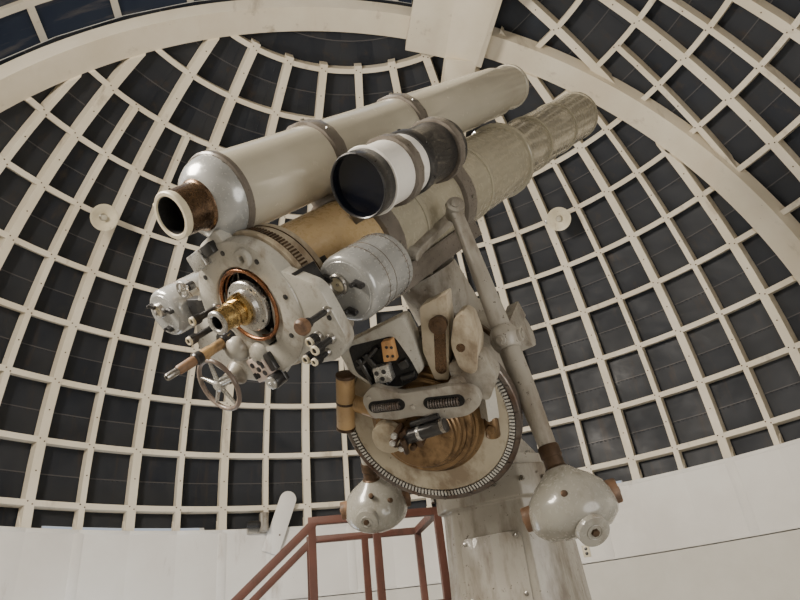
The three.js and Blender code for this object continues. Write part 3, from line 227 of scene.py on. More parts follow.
finishes = {
    "creamPaint": {"tones": ((0.82, 0.76, 0.64), (0.72, 0.65, 0.52)), "grime": ((0.24, 0.18, 0.12), 0.6),
        "chips": ((0.13, 0.07, 0.04), 0.7), "scale": 1.6, "rough": (0.38, 0.62), "bump": 0.25},
    "skirtPaint": {"tones": ((0.82, 0.81, 0.78), (0.73, 0.71, 0.67)), "grime": ((0.3, 0.22, 0.14), 0.6),
        "chips": ((0.2, 0.1, 0.05), 0.74), "scale": 1.2, "rough": (0.4, 0.6), "bump": 0.2},
    "tubePaint": {"tones": ((0.42, 0.39, 0.3), (0.36, 0.33, 0.25)), "grime": ((0.26, 0.22, 0.15), 0.66),
        "chips": ((0.16, 0.13, 0.09), 0.8), "scale": 2.2, "rough": (0.18, 0.32), "bump": 0.03, "coat": 0.35},
    "guidePaint": {"tones": ((0.52, 0.49, 0.41), (0.45, 0.42, 0.34)), "grime": ((0.3, 0.25, 0.18), 0.66),
        "chips": ((0.2, 0.16, 0.1), 0.8), "scale": 2.2, "rough": (0.15, 0.28), "bump": 0.03, "coat": 0.4},
    "whiteEnamel": {"tones": ((0.5, 0.49, 0.45), (0.4, 0.39, 0.35)), "grime": ((0.18, 0.14, 0.1), 0.52),
        "chips": ((0.08, 0.05, 0.035), 0.66), "scale": 5.0, "rough": (0.22, 0.45), "bump": 0.25, "coat": 0.3},
    "mountPaint": {"tones": ((0.38, 0.36, 0.32), (0.3, 0.28, 0.24)), "grime": ((0.12, 0.09, 0.06), 0.47),
        "chips": ((0.07, 0.05, 0.035), 0.64), "scale": 4.0, "rough": (0.28, 0.5), "bump": 0.3, "coat": 0.2},
    "tubeGold": {"tones": ((0.6, 0.45, 0.25), (0.5, 0.36, 0.19)), "grime": ((0.22, 0.15, 0.08), 0.62),
        "chips": ((0.12, 0.08, 0.05), 0.76), "scale": 3.0, "rough": (0.2, 0.38), "bump": 0.12, "coat": 0.4},
    "saddleDark": {"tones": ((0.17, 0.15, 0.13), (0.12, 0.105, 0.09)), "grime": ((0.05, 0.04, 0.03), 0.54),
        "chips": ((0.3, 0.27, 0.22), 0.74), "scale": 4.0, "rough": (0.24, 0.42), "bump": 0.2, "coat": 0.3},
    "weightGrey": {"tones": ((0.34, 0.335, 0.3), (0.28, 0.27, 0.24)), "grime": ((0.14, 0.11, 0.08), 0.56),
        "chips": ((0.1, 0.07, 0.05), 0.72), "scale": 4.0, "rough": (0.16, 0.32), "bump": 0.12, "coat": 0.5},
    "drumSilver": {"tones": ((0.44, 0.45, 0.45), (0.36, 0.37, 0.37)), "grime": ((0.22, 0.19, 0.15), 0.62),
        "chips": ((0.16, 0.12, 0.09), 0.78), "scale": 5.0, "rough": (0.16, 0.3), "bump": 0.08, "coat": 0.5,
        "metallic": 0.25},
    "wheelCream": {"tones": ((0.54, 0.49, 0.38), (0.42, 0.37, 0.28)), "grime": ((0.16, 0.1, 0.05), 0.47),
        "chips": ((0.1, 0.07, 0.04), 0.68), "scale": 3.4, "rough": (0.28, 0.5), "bump": 0.25, "coat": 0.2},
    "tanCast": {"tones": ((0.5, 0.44, 0.34), (0.4, 0.34, 0.25)), "grime": ((0.14, 0.09, 0.05), 0.52),
        "chips": ((0.1, 0.06, 0.04), 0.7), "scale": 4.0, "rough": (0.28, 0.46), "bump": 0.25, "coat": 0.3},
    "goldTan": {"tones": ((0.5, 0.34, 0.17), (0.38, 0.25, 0.12)), "grime": ((0.12, 0.07, 0.035), 0.5),
        "chips": ((0.08, 0.05, 0.03), 0.68), "scale": 5.0, "rough": (0.26, 0.44), "bump": 0.2, "coat": 0.3},
    "bronzeDark": {"tones": ((0.3, 0.2, 0.11), (0.17, 0.11, 0.06)), "grime": ((0.05, 0.03, 0.018), 0.48),
        "chips": ((0.5, 0.4, 0.26), 0.74), "scale": 7.0, "rough": (0.26, 0.46), "bump": 0.2, "metallic": 0.8},
    "smokedBronze": {"tones": ((0.17, 0.11, 0.07), (0.11, 0.07, 0.045)), "grime": ((0.04, 0.028, 0.02), 0.5),
        "chips": ((0.34, 0.24, 0.14), 0.76), "scale": 5.0, "rough": (0.2, 0.34), "bump": 0.08,
        "metallic": 0.85},
    "rimBrown": {"tones": ((0.26, 0.21, 0.18), (0.18, 0.14, 0.12)), "grime": ((0.08, 0.06, 0.05), 0.52),
        "chips": ((0.45, 0.4, 0.34), 0.72), "scale": 9.0, "rough": (0.3, 0.48), "bump": 0.2, "coat": 0.2},
    "silverGrey": {"tones": ((0.62, 0.62, 0.6), (0.48, 0.48, 0.47)), "grime": ((0.14, 0.11, 0.08), 0.54),
        "chips": ((0.1, 0.08, 0.06), 0.72), "scale": 8.0, "rough": (0.22, 0.38), "bump": 0.15,
        "metallic": 0.75},
    "pinkBlock": {"tones": ((0.72, 0.62, 0.56), (0.6, 0.5, 0.45)), "grime": ((0.2, 0.14, 0.1), 0.56),
        "chips": ((0.16, 0.11, 0.08), 0.72), "scale": 9.0, "rough": (0.35, 0.5), "bump": 0.15},
    "brownIron": {"tones": ((0.12, 0.075, 0.045), (0.07, 0.045, 0.03)), "grime": ((0.03, 0.022, 0.016), 0.5),
        "chips": ((0.28, 0.22, 0.16), 0.72), "scale": 8.0, "rough": (0.34, 0.58), "bump": 0.4,
        "metallic": 0.55},
    "rustWood": {"tones": ((0.22, 0.13, 0.075), (0.15, 0.085, 0.05)), "grime": ((0.05, 0.03, 0.02), 0.5),
        "chips": ((0.35, 0.27, 0.18), 0.74), "scale": 9.0, "rough": (0.45, 0.65), "bump": 0.4},
    "copperRing": {"tones": ((0.42, 0.2, 0.1), (0.26, 0.12, 0.06)), "grime": ((0.06, 0.03, 0.02), 0.52),
        "chips": ((0.6, 0.4, 0.25), 0.75), "scale": 12.0, "rough": (0.22, 0.4), "bump": 0.2, "metallic": 0.9},
    "agedBrass": {"tones": ((0.62, 0.45, 0.2), (0.42, 0.29, 0.12)), "grime": ((0.1, 0.06, 0.03), 0.52),
        "chips": ((0.75, 0.62, 0.38), 0.74), "scale": 12.0, "rough": (0.18, 0.36), "bump": 0.15,
        "metallic": 1.0},
    "turnedSteel": {"tones": ((0.52, 0.51, 0.49), (0.38, 0.37, 0.35)), "grime": ((0.12, 0.09, 0.06), 0.56),
        "chips": ((0.2, 0.12, 0.07), 0.74), "scale": 10.0, "rough": (0.22, 0.42), "bump": 0.15,
        "metallic": 1.0},
    "railSteel": {"tones": ((0.22, 0.2, 0.18), (0.14, 0.12, 0.11)), "grime": ((0.1, 0.05, 0.03), 0.5),
        "chips": ((0.24, 0.12, 0.06), 0.66), "scale": 4.0, "rough": (0.36, 0.6), "bump": 0.3,
        "metallic": 0.7},
    "blackPaint": {"tones": ((0.025, 0.025, 0.027), (0.014, 0.014, 0.015)),
        "grime": ((0.05, 0.045, 0.04), 0.6), "chips": ((0.16, 0.15, 0.13), 0.76), "scale": 8.0,
        "rough": (0.25, 0.45), "bump": 0.15, "coat": 0.25},
    # near black: in the tubes their black lining together with painted shade of the depth beyond, and on
    # slots, holes and openings painted shade standing for their depth
    "blackBoreAndShade": {"tones": ((0.01, 0.01, 0.011), (0.006, 0.006, 0.006)), "grime": ((0.02, 0.018, 0.016), 0.62),
        "chips": ((0.03, 0.03, 0.03), 0.8), "scale": 8.0, "rough": (0.6, 0.8), "bump": 0.1},
    "ivory": {"tones": ((0.72, 0.66, 0.5), (0.62, 0.56, 0.42)), "grime": ((0.3, 0.22, 0.14), 0.6),
        "chips": ((0.3, 0.22, 0.14), 0.78), "scale": 10.0, "rough": (0.3, 0.45), "bump": 0.1},
    "redSteel": {"tones": ((0.115, 0.045, 0.032), (0.085, 0.034, 0.026)),
        "grime": ((0.04, 0.022, 0.016), 0.54), "chips": ((0.2, 0.13, 0.09), 0.72), "scale": 5.0,
        "rough": (0.38, 0.58), "bump": 0.25},
    "doorPaint": {"tones": ((0.1, 0.17, 0.14), (0.08, 0.13, 0.11)), "grime": ((0.05, 0.05, 0.04), 0.56),
        "chips": ((0.22, 0.14, 0.09), 0.74), "scale": 3.0, "rough": (0.34, 0.52), "bump": 0.2},
    "lensDark": {"tones": ((0.004, 0.006, 0.013), (0.003, 0.004, 0.008)),
        "grime": ((0.012, 0.011, 0.01), 0.66), "chips": ((0.02, 0.02, 0.02), 0.82), "scale": 9.0,
        "rough": (0.06, 0.14), "bump": 0.02},
    "orangeBlock": {"tones": ((0.55, 0.3, 0.12), (0.42, 0.22, 0.09)), "grime": ((0.12, 0.08, 0.05), 0.55),
        "chips": ((0.7, 0.6, 0.4), 0.75), "scale": 14.0, "rough": (0.4, 0.6), "bump": 0.2},
}


def paintFrom(name, values):
    material, tree, shader, place = newPaint(name, values.get("metallic", 0.0), values.get("coat", 0.0))
    scale = values["scale"]
    tone = cloudy(tree, place, scale, 5.0)
    fine = cloudy(tree, place, scale * 16, 3.0, 0.6)
    runs = cloudy(tree, stretched(tree, place, (1, 1, 0.3)), scale * 2.4, 7.0, 0.62)
    spots = cloudy(tree, place, scale * 11, 6.0, 0.7)
    (grimeTone, grimeFrom), (chipTone, chipFrom) = values["grime"], values["chips"]
    grime = scaled(tree, runs, grimeFrom, grimeFrom + 0.16, 0.0, 0.75)
    chips = scaled(tree, spots, chipFrom, chipFrom + 0.02, 0.0, 0.9)
    colour = blended(tree, scaled(tree, tone, 0.35, 0.65, 0.0, 1.0), *values["tones"])
    colour = blended(tree, grime, colour, grimeTone)
    colour = blended(tree, chips, colour, chipTone)
    tree.links.new(colour, shader.inputs["Base Color"])
    smooth, dull = values["rough"]
    tree.links.new(plus(tree, scaled(tree, fine, 0.3, 0.7, smooth, dull), times(tree, chips, 0.2)),
        shader.inputs["Roughness"])
    raised(tree, shader, minus(tree, fine, chips), values["bump"], 0.0012)
    return material


def spherePlace(tree, place):
    # azimuth and elevation in degrees and the distance, about the dome's centre
    parts = tree.nodes.new("ShaderNodeSeparateXYZ")
    tree.links.new(place, parts.inputs[0])
    x, y = parts.outputs[0], parts.outputs[1]
    z = minus(tree, parts.outputs[2], domeCentre.z)
    flat = maths(tree, "SQRT", plus(tree, times(tree, x, x), times(tree, y, y)))
    reach = maths(tree, "SQRT", plus(tree, times(tree, flat, flat), times(tree, z, z)))
    azimuth = times(tree, maths(tree, "ARCTAN2", y, x), 180 / pi)
    elevation = times(tree, maths(tree, "ARCTAN2", z, flat), 180 / pi)
    return azimuth, elevation, reach, x, y, z


def nearLine(tree, value, width):
    # 1 where a number is within width of a whole one
    off = maths(tree, "ABSOLUTE", minus(tree, value, maths(tree, "ROUND", value)))
    return scaled(tree, off, width * 0.6, width, 1.0, 0.0)


# the dome's ribs, and its bays between ribs and levels between rings, in degrees
ribCount = 60
bayWide = 360 / ribCount
levelFirst = -1.47
levelHigh = 7.436

skinValues = {
    "inside": ((0.007, 0.011, 0.020), (0.026, 0.029, 0.036)),
    "insideStain": (0.046, 0.032, 0.024),
    "outside": ((0.66, 0.67, 0.66), (0.52, 0.53, 0.53)),
    "outsideStain": (0.26, 0.23, 0.19),
    "switch": 4.718,
}


def facetReach(tree, bay, level, elevation, reach):
    # the radius of the corners of a point's flat facet, which tells inner faces from outer ones
    turn, rise = radians(bayWide), radians(levelHigh)
    middle = plus(tree, maths(tree, "FLOOR", level), 0.5)
    aside = times(tree, minus(tree, maths(tree, "FRACT", bay), 0.5), turn)
    above = times(tree, minus(tree, level, middle), rise)
    here = maths(tree, "COSINE", times(tree, elevation, pi / 180))
    centre = maths(tree, "COSINE", plus(tree, times(tree, middle, rise), radians(levelFirst)))
    sag = times(tree, times(tree, here, centre), minus(tree, 1.0, maths(tree, "COSINE", aside)))
    depth = times(tree, reach, minus(tree, maths(tree, "COSINE", above), sag))
    corner = times(tree, times(tree, centre, centre), 1 - cos(turn / 2))
    share = times(tree, minus(tree, 1.0, corner), cos(rise / 2))
    return maths(tree, "DIVIDE", depth, share)


def skinPaint(name, values):
    material, tree, shader, place = newPaint(name, 0.15, 0.0)
    azimuth, elevation, reach = spherePlace(tree, place)[:3]
    bay = maths(tree, "DIVIDE", plus(tree, azimuth, 90.0), bayWide)
    level = maths(tree, "DIVIDE", minus(tree, elevation, levelFirst), levelHigh)
    cell = tree.nodes.new("ShaderNodeCombineXYZ")
    tree.links.new(maths(tree, "FLOOR", bay), cell.inputs[0])
    tree.links.new(maths(tree, "ROUND", level), cell.inputs[1])
    chance = tree.nodes.new("ShaderNodeTexWhiteNoise")
    tree.links.new(cell.outputs[0], chance.inputs["Vector"])
    mottle = cloudy(tree, place, 2.3, 6.0, 0.6)
    shade = scaled(tree, plus(tree, times(tree, chance.outputs[0], 0.45), mottle), 0.40, 0.98, 0.0, 1.0)
    streaks = cloudy(tree, stretched(tree, place, (6, 6, 0.6)), 1.5, 6.0, 0.65)
    stain = scaled(tree, streaks, 0.56, 0.74, 0.0, 0.7)
    inside = blended(tree, stain, blended(tree, shade, *values["inside"]), values["insideStain"])
    seams = nearLine(tree, plus(tree, level, 0.5), 0.010)
    inside = blended(tree, times(tree, seams, 0.6), inside, (0.13, 0.12, 0.12))
    outside = blended(tree, stain, blended(tree, mottle, *values["outside"]), values["outsideStain"])
    joints = maths(tree, "MAXIMUM", nearLine(tree, bay, 0.006), nearLine(tree, level, 0.008))
    outside = blended(tree, times(tree, joints, 0.6), outside, (0.2, 0.19, 0.17))
    isOut = maths(tree, "GREATER_THAN", facetReach(tree, bay, level, elevation, reach), values["switch"])
    tree.links.new(blended(tree, isOut, inside, outside), shader.inputs["Base Color"])
    tree.links.new(scaled(tree, mottle, 0.3, 0.7, 0.40, 0.66), shader.inputs["Roughness"])
    dents = cloudy(tree, stretched(tree, place, (1, 1, 1.4)), 1.9, 2.0, 0.5)
    ripples = cloudy(tree, place, 60.0, 3.0, 0.6)
    rivets = times(tree, nearLine(tree, times(tree, bay, 10.0), 0.25),
        nearLine(tree, plus(tree, level, 0.525), 0.012))
    height = plus(tree, times(tree, dents, 12.0), times(tree, ripples, 0.15))
    raised(tree, shader, plus(tree, height, rivets), 0.6, 0.004)
    return material


leafValues = {
    "inside": ((0.016, 0.026, 0.055), (0.035, 0.045, 0.07)),
    "outside": ((0.68, 0.69, 0.68), (0.54, 0.55, 0.55)),
    "stain": (0.22, 0.19, 0.16),
    "switch": 4.842,
}


def leafPaint(name, values):
    material, tree, shader, place = newPaint(name, 0.2, 0.0)
    y, z = spherePlace(tree, place)[4:]
    across = maths(tree, "SQRT", plus(tree, times(tree, y, y), times(tree, z, z)))
    mottle = cloudy(tree, place, 2.6, 6.0, 0.6)
    streaks = cloudy(tree, stretched(tree, place, (7, 1, 1)), 1.2, 6.0, 0.6)
    stain = scaled(tree, streaks, 0.55, 0.72, 0.0, 0.6)
    isOut = maths(tree, "GREATER_THAN", across, values["switch"])
    base = blended(tree, isOut, blended(tree, mottle, *values["inside"]),
        blended(tree, mottle, *values["outside"]))
    tree.links.new(blended(tree, stain, base, values["stain"]), shader.inputs["Base Color"])
    tree.links.new(scaled(tree, mottle, 0.3, 0.7, 0.32, 0.56), shader.inputs["Roughness"])
    dents = cloudy(tree, place, 1.8, 2.0, 0.5)
    raised(tree, shader, dents, 0.6, 0.04)
    return material


wallValues = {
    "tones": ((0.76, 0.74, 0.69), (0.67, 0.65, 0.60)),
    "stain": (0.32, 0.29, 0.24),
    "course": 0.30, "outerFrom": 4.70,
}


def plasterPaint(name, values):
    material, tree, shader, place = newPaint(name)
    places = spherePlace(tree, place)
    azimuth, x, y, z = places[0], *places[3:]
    high = plus(tree, z, domeCentre.z)
    mottle = cloudy(tree, place, 1.3, 8.0, 0.6)
    grain = cloudy(tree, place, 90.0, 6.0, 0.7)
    course = maths(tree, "DIVIDE", high, values["course"])
    row = maths(tree, "FLOOR", course)
    shift = times(tree, maths(tree, "MODULO", row, 2.0), 0.5)
    block = plus(tree, maths(tree, "DIVIDE", azimuth, 7.5), shift)
    flat = maths(tree, "SQRT", plus(tree, times(tree, x, x), times(tree, y, y)))
    outer = maths(tree, "GREATER_THAN", flat, values["outerFrom"])
    joints = times(tree, maths(tree, "MAXIMUM", nearLine(tree, course, 0.022), nearLine(tree, block, 0.011)),
        outer)
    # darker towards the bottom of the walls, in patches, fading out by 0.9 m up
    rise = scaled(tree, high, 0.1, 0.9, 0.85, 0.15)
    darkerLow = times(tree, scaled(tree, cloudy(tree, place, 3.0, 7.0, 0.65), 0.35, 0.7, 0.0, 1.0), rise)
    colour = blended(tree, darkerLow, blended(tree, mottle, *values["tones"]), values["stain"])
    colour = blended(tree, times(tree, joints, 0.45), colour, values["stain"])
    tree.links.new(colour, shader.inputs["Base Color"])
    tree.links.new(scaled(tree, grain, 0.3, 0.7, 0.78, 0.95), shader.inputs["Roughness"])
    raised(tree, shader, minus(tree, grain, times(tree, joints, 2.5)), 0.5, 0.004)
    return material


def concretePaint(name):
    material, tree, shader, place = newPaint(name)
    mottle = cloudy(tree, place, 1.1, 9.0, 0.65)
    grain = cloudy(tree, place, 70.0, 6.0, 0.7)
    cracks = tree.nodes.new("ShaderNodeTexVoronoi")
    cracks.feature = "DISTANCE_TO_EDGE"
    tree.links.new(place, cracks.inputs["Vector"])
    cracks.inputs["Scale"].default_value = 0.7
    line = scaled(tree, cracks.outputs[0], 0.0, 0.006, 1.0, 0.0)
    colour = blended(tree, mottle, (0.30, 0.29, 0.27), (0.42, 0.41, 0.38))
    colour = blended(tree, times(tree, line, 0.6), colour, (0.13, 0.12, 0.11))
    tree.links.new(colour, shader.inputs["Base Color"])
    tree.links.new(scaled(tree, grain, 0.3, 0.7, 0.65, 0.9), shader.inputs["Roughness"])
    raised(tree, shader, minus(tree, grain, line), 0.4, 0.003)
    return material


paints = {name: paintFrom(name, values) for name, values in finishes.items()}
paints["sheetSkin"] = skinPaint("sheetSkin", skinValues)
paints["leafSheet"] = leafPaint("leafSheet", leafValues)
paints["plaster"] = plasterPaint("plaster", wallValues)
paints["concrete"] = concretePaint("concrete")
print("finishes made")

# Mesh helpers


def aimed(at, way):
    # a place at a point with its z axis along a direction
    return Matrix.Translation(at) @ way.to_track_quat("Z", "Y").to_matrix().to_4x4()


def around(centre, radius, a, z):
    return centre[0] + radius * cos(a), centre[1] + radius * sin(a), z


def alongLine(a, b):
    a, b = Vector(a), Vector(b)
    return aimed((a + b) / 2, b - a), (b - a).length


def roundEdges(bm, edges, width, segments=2):
    if width and edges:
        bmesh.ops.bevel(bm, geom=list(edges), offset=width, offset_type="OFFSET", segments=segments,
            profile=0.5, affect="EDGES", clamp_overlap=True, material=-1)


def addBox(bm, place, low, high, width=0.0):
    low, high = Vector(low), Vector(high)
    matrix = place @ Matrix.Translation((low + high) / 2) @ Matrix.Diagonal((*(high - low), 1))
    made = bmesh.ops.create_cube(bm, size=1.0, matrix=matrix)
    roundEdges(bm, {e for v in made["verts"] for e in v.link_edges}, width)


def addRod(bm, place, a, b, ra, rb=None, sides=24, width=0.0):
    matrix, length = alongLine(a, b)
    made = bmesh.ops.create_cone(bm, cap_ends=True, cap_tris=False, segments=sides, radius1=ra,
        radius2=ra if rb is None else rb, depth=length, matrix=place @ matrix)
    rims = {e for v in made["verts"] for e in v.link_edges if any(len(f.verts) > 4 for f in e.link_faces)}
    roundEdges(bm, rims, width)


def addBar(bm, place, a, b, wide, deep, width=0.0):
    matrix, length = alongLine(a, b)
    addBox(bm, place @ matrix, (-wide / 2, -deep / 2, -length / 2), (wide / 2, deep / 2, length / 2), width)


def cutAway(bm, at, normal):
    # takes off what lies behind a plane and closes the cut
    bmesh.ops.bisect_plane(bm, geom=bm.verts[:] + bm.edges[:] + bm.faces[:], dist=1e-5, clear_inner=True,
        plane_co=at, plane_no=normal)
    bmesh.ops.holes_fill(bm, edges=[e for e in bm.edges if e.is_boundary], sides=0)


def addBoxes(bm, place, *boxes):
    for low, high, width in boxes:
        addBox(bm, place, low, high, width)


def addRods(bm, place, *rods):
    # each with its ends, radius, sides and rounding
    for a, b, radius, sides, width in rods:
        addRod(bm, place, a, b, radius, sides=sides, width=width)


def addPart(bm, part, place):
    bmesh.ops.transform(part, matrix=place, verts=part.verts)
    mesh = bpy.data.meshes.new("part")
    part.to_mesh(mesh)
    part.free()
    bm.from_mesh(mesh)
    bpy.data.meshes.remove(mesh)


def addLathe(bm, place, profile, sides=48, centre=(0, 0), closed=False):
    # profile of (radius, height), ended on the axis or closed
    part = bmesh.new()
    verts = [part.verts.new((centre[0] + r, centre[1], z)) for r, z in profile]
    edges = [part.edges.new(pair) for pair in zip(verts, verts[1:])]
    if closed:
        edges.append(part.edges.new((verts[-1], verts[0])))
    bmesh.ops.spin(part, geom=verts + edges, cent=(*centre, 0), axis=(0, 0, 1), angle=2 * pi, steps=sides,
        use_merge=True, use_duplicate=False)
    bmesh.ops.remove_doubles(part, verts=part.verts, dist=1e-5)
    bmesh.ops.dissolve_degenerate(part, dist=1e-6, edges=part.edges)
    addPart(bm, part, place)


def addTorus(bm, place, centre, radius, thick, sides=48, facets=10):
    ring = [around((radius, centre[2]), thick, 2 * pi * k / facets, 0)[:2] for k in range(facets)]
    addLathe(bm, place, ring, sides, centre[:2], closed=True)


def addPlate(bm, place, outline, low, high, width=0.0, corners=0.0):
    part = bmesh.new()
    face = part.faces.new([part.verts.new((x, y, low)) for x, y in outline])
    made = bmesh.ops.extrude_face_region(part, geom=[face])
    bmesh.ops.translate(part, vec=(0, 0, high - low),
        verts=[v for v in made["geom"] if isinstance(v, bmesh.types.BMVert)])
    bmesh.ops.recalc_face_normals(part, faces=part.faces)
    if corners:
        upright = [e for e in part.edges if abs(e.verts[0].co.z - e.verts[1].co.z) > 1e-6]
        roundEdges(part, upright, corners, 4)
    if width:
        rims = [e for e in part.edges if any(len(f.verts) > 4 for f in e.link_faces) or not corners]
        roundEdges(part, rims, width)
    addPart(bm, part, place)


def addBolt(bm, place, at, normal, radius=0.009, height=0.006, sides=6):
    at, normal = Vector(at), Vector(normal).normalized()
    matrix = alongLine(at - normal * 0.002, at + normal * height)[0]
    bmesh.ops.create_cone(bm, cap_ends=True, cap_tris=False, segments=sides, radius1=radius,
        radius2=radius * 0.85, depth=height + 0.002, matrix=place @ matrix)


def boltRing(bm, place, centre, radius, count, normal=(0, 0, 1), size=0.009, height=0.007, start=0.0):
    for k in range(count):
        a = start + 2 * pi * k / count
        addBolt(bm, place, around(centre, radius, a, centre[2]), normal, size, height)


def sweepArch(bm, profile, start, end, steps):
    # profile of (x, distance from the X axis) swept over the slit; 0 degrees is level at the front
    part = bmesh.new()
    a = radians(start)
    verts = [part.verts.new((x, -r * cos(a), domeCentre.z + r * sin(a))) for x, r in profile]
    edges = [part.edges.new(pair) for pair in zip(verts, verts[1:] + verts[:1])]
    bmesh.ops.spin(part, geom=verts + edges, cent=domeCentre, axis=(1, 0, 0), angle=-radians(end - start),
        steps=steps, use_duplicate=False)
    bmesh.ops.holes_fill(part, edges=[e for e in part.edges if e.is_boundary], sides=0)
    addPart(bm, part, world)


def finishPiece(bm, name, body, paint, slotName=None, stands=(), sharp=32):
    bmesh.ops.recalc_face_normals(bm, faces=bm.faces)
    mesh = bpy.data.meshes.new(name)
    bm.to_mesh(mesh)
    bm.free()
    mesh.materials.append(paints[paint])
    mesh.shade_smooth()
    mesh.set_sharp_from_angle(angle=radians(sharp))
    obj = bpy.data.objects.new(name, mesh)
    bpy.context.scene.collection.objects.link(obj)
    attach(obj, body)
    if stands:
        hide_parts(*stands)
    return obj


def turnedPiece(name, look, place, profile, sides=48, centre=(0, 0), closed=False):
    # look is the piece's body, finish, slot and the nodes that it stands for
    bm = bmesh.new()
    addLathe(bm, place, profile, sides, centre, closed)
    return finishPiece(bm, name, *look)


def dressed(node, body, paint, slotName, width, angle=25):
    # a copy of a solid with its edges rounded, which stands for it
    bm = bmesh.new()
    bm.from_mesh(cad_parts[node].data)
    bmesh.ops.remove_doubles(bm, verts=bm.verts, dist=1e-5)
    bmesh.ops.dissolve_limit(bm, angle_limit=radians(1.0), use_dissolve_boundaries=False, verts=bm.verts,
        edges=bm.edges, delimit=set())
    edges = [e for e in bm.edges if e.is_manifold and e.calc_face_angle(0) > radians(angle)]
    roundEdges(bm, edges, width)
    return finishPiece(bm, f"{node}Dressed", body, paint, slotName, (node,))


def repaint(node, paint):
    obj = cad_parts[node]
    for place in obj.material_slots:
        place.material = paints[paint]


def onSphere(azimuth, elevation, radius):
    a, e = radians(azimuth), radians(elevation)
    return domeCentre + Vector((cos(e) * cos(a), cos(e) * sin(a), sin(e))) * radius


def quarterTurn(axis):
    return Matrix.Rotation(pi / 2, 4, axis)


def aboutZ(degrees):
    return Matrix.Rotation(radians(degrees), 4, "Z")


# Floor under everything

floorMesh = bmesh.new()
bmesh.ops.create_circle(floorMesh, cap_ends=True, segments=96, radius=40)
bmesh.ops.translate(floorMesh, vec=(0, 0, -0.003), verts=floorMesh.verts)
floorData = bpy.data.meshes.new("paleFloor")
floorMesh.to_mesh(floorData)
floorMesh.free()
floorPaint = bpy.data.materials.new("paleFloor")
floorPaint.use_nodes = True
floorPaint.node_tree.nodes["Principled BSDF"].inputs["Base Color"].default_value = (0.72, 0.71, 0.69, 1)
floorPaint.node_tree.nodes["Principled BSDF"].inputs["Roughness"].default_value = 0.8
floorData.materials.append(floorPaint)
floorObject = bpy.data.objects.new("paleFloor", floorData)
bpy.context.scene.collection.objects.link(floorObject)

# Building: slab, wall, door and rail

buildingValues = {
    "wallOut": 4.82, "plinthTop": 0.30, "plinthProud": 0.05, "doorAzimuth": 45, "doorFace": 4.67,
    "doorHalf": 0.4997, "doorLow": 0.1203, "doorHigh": 1.9197,
}


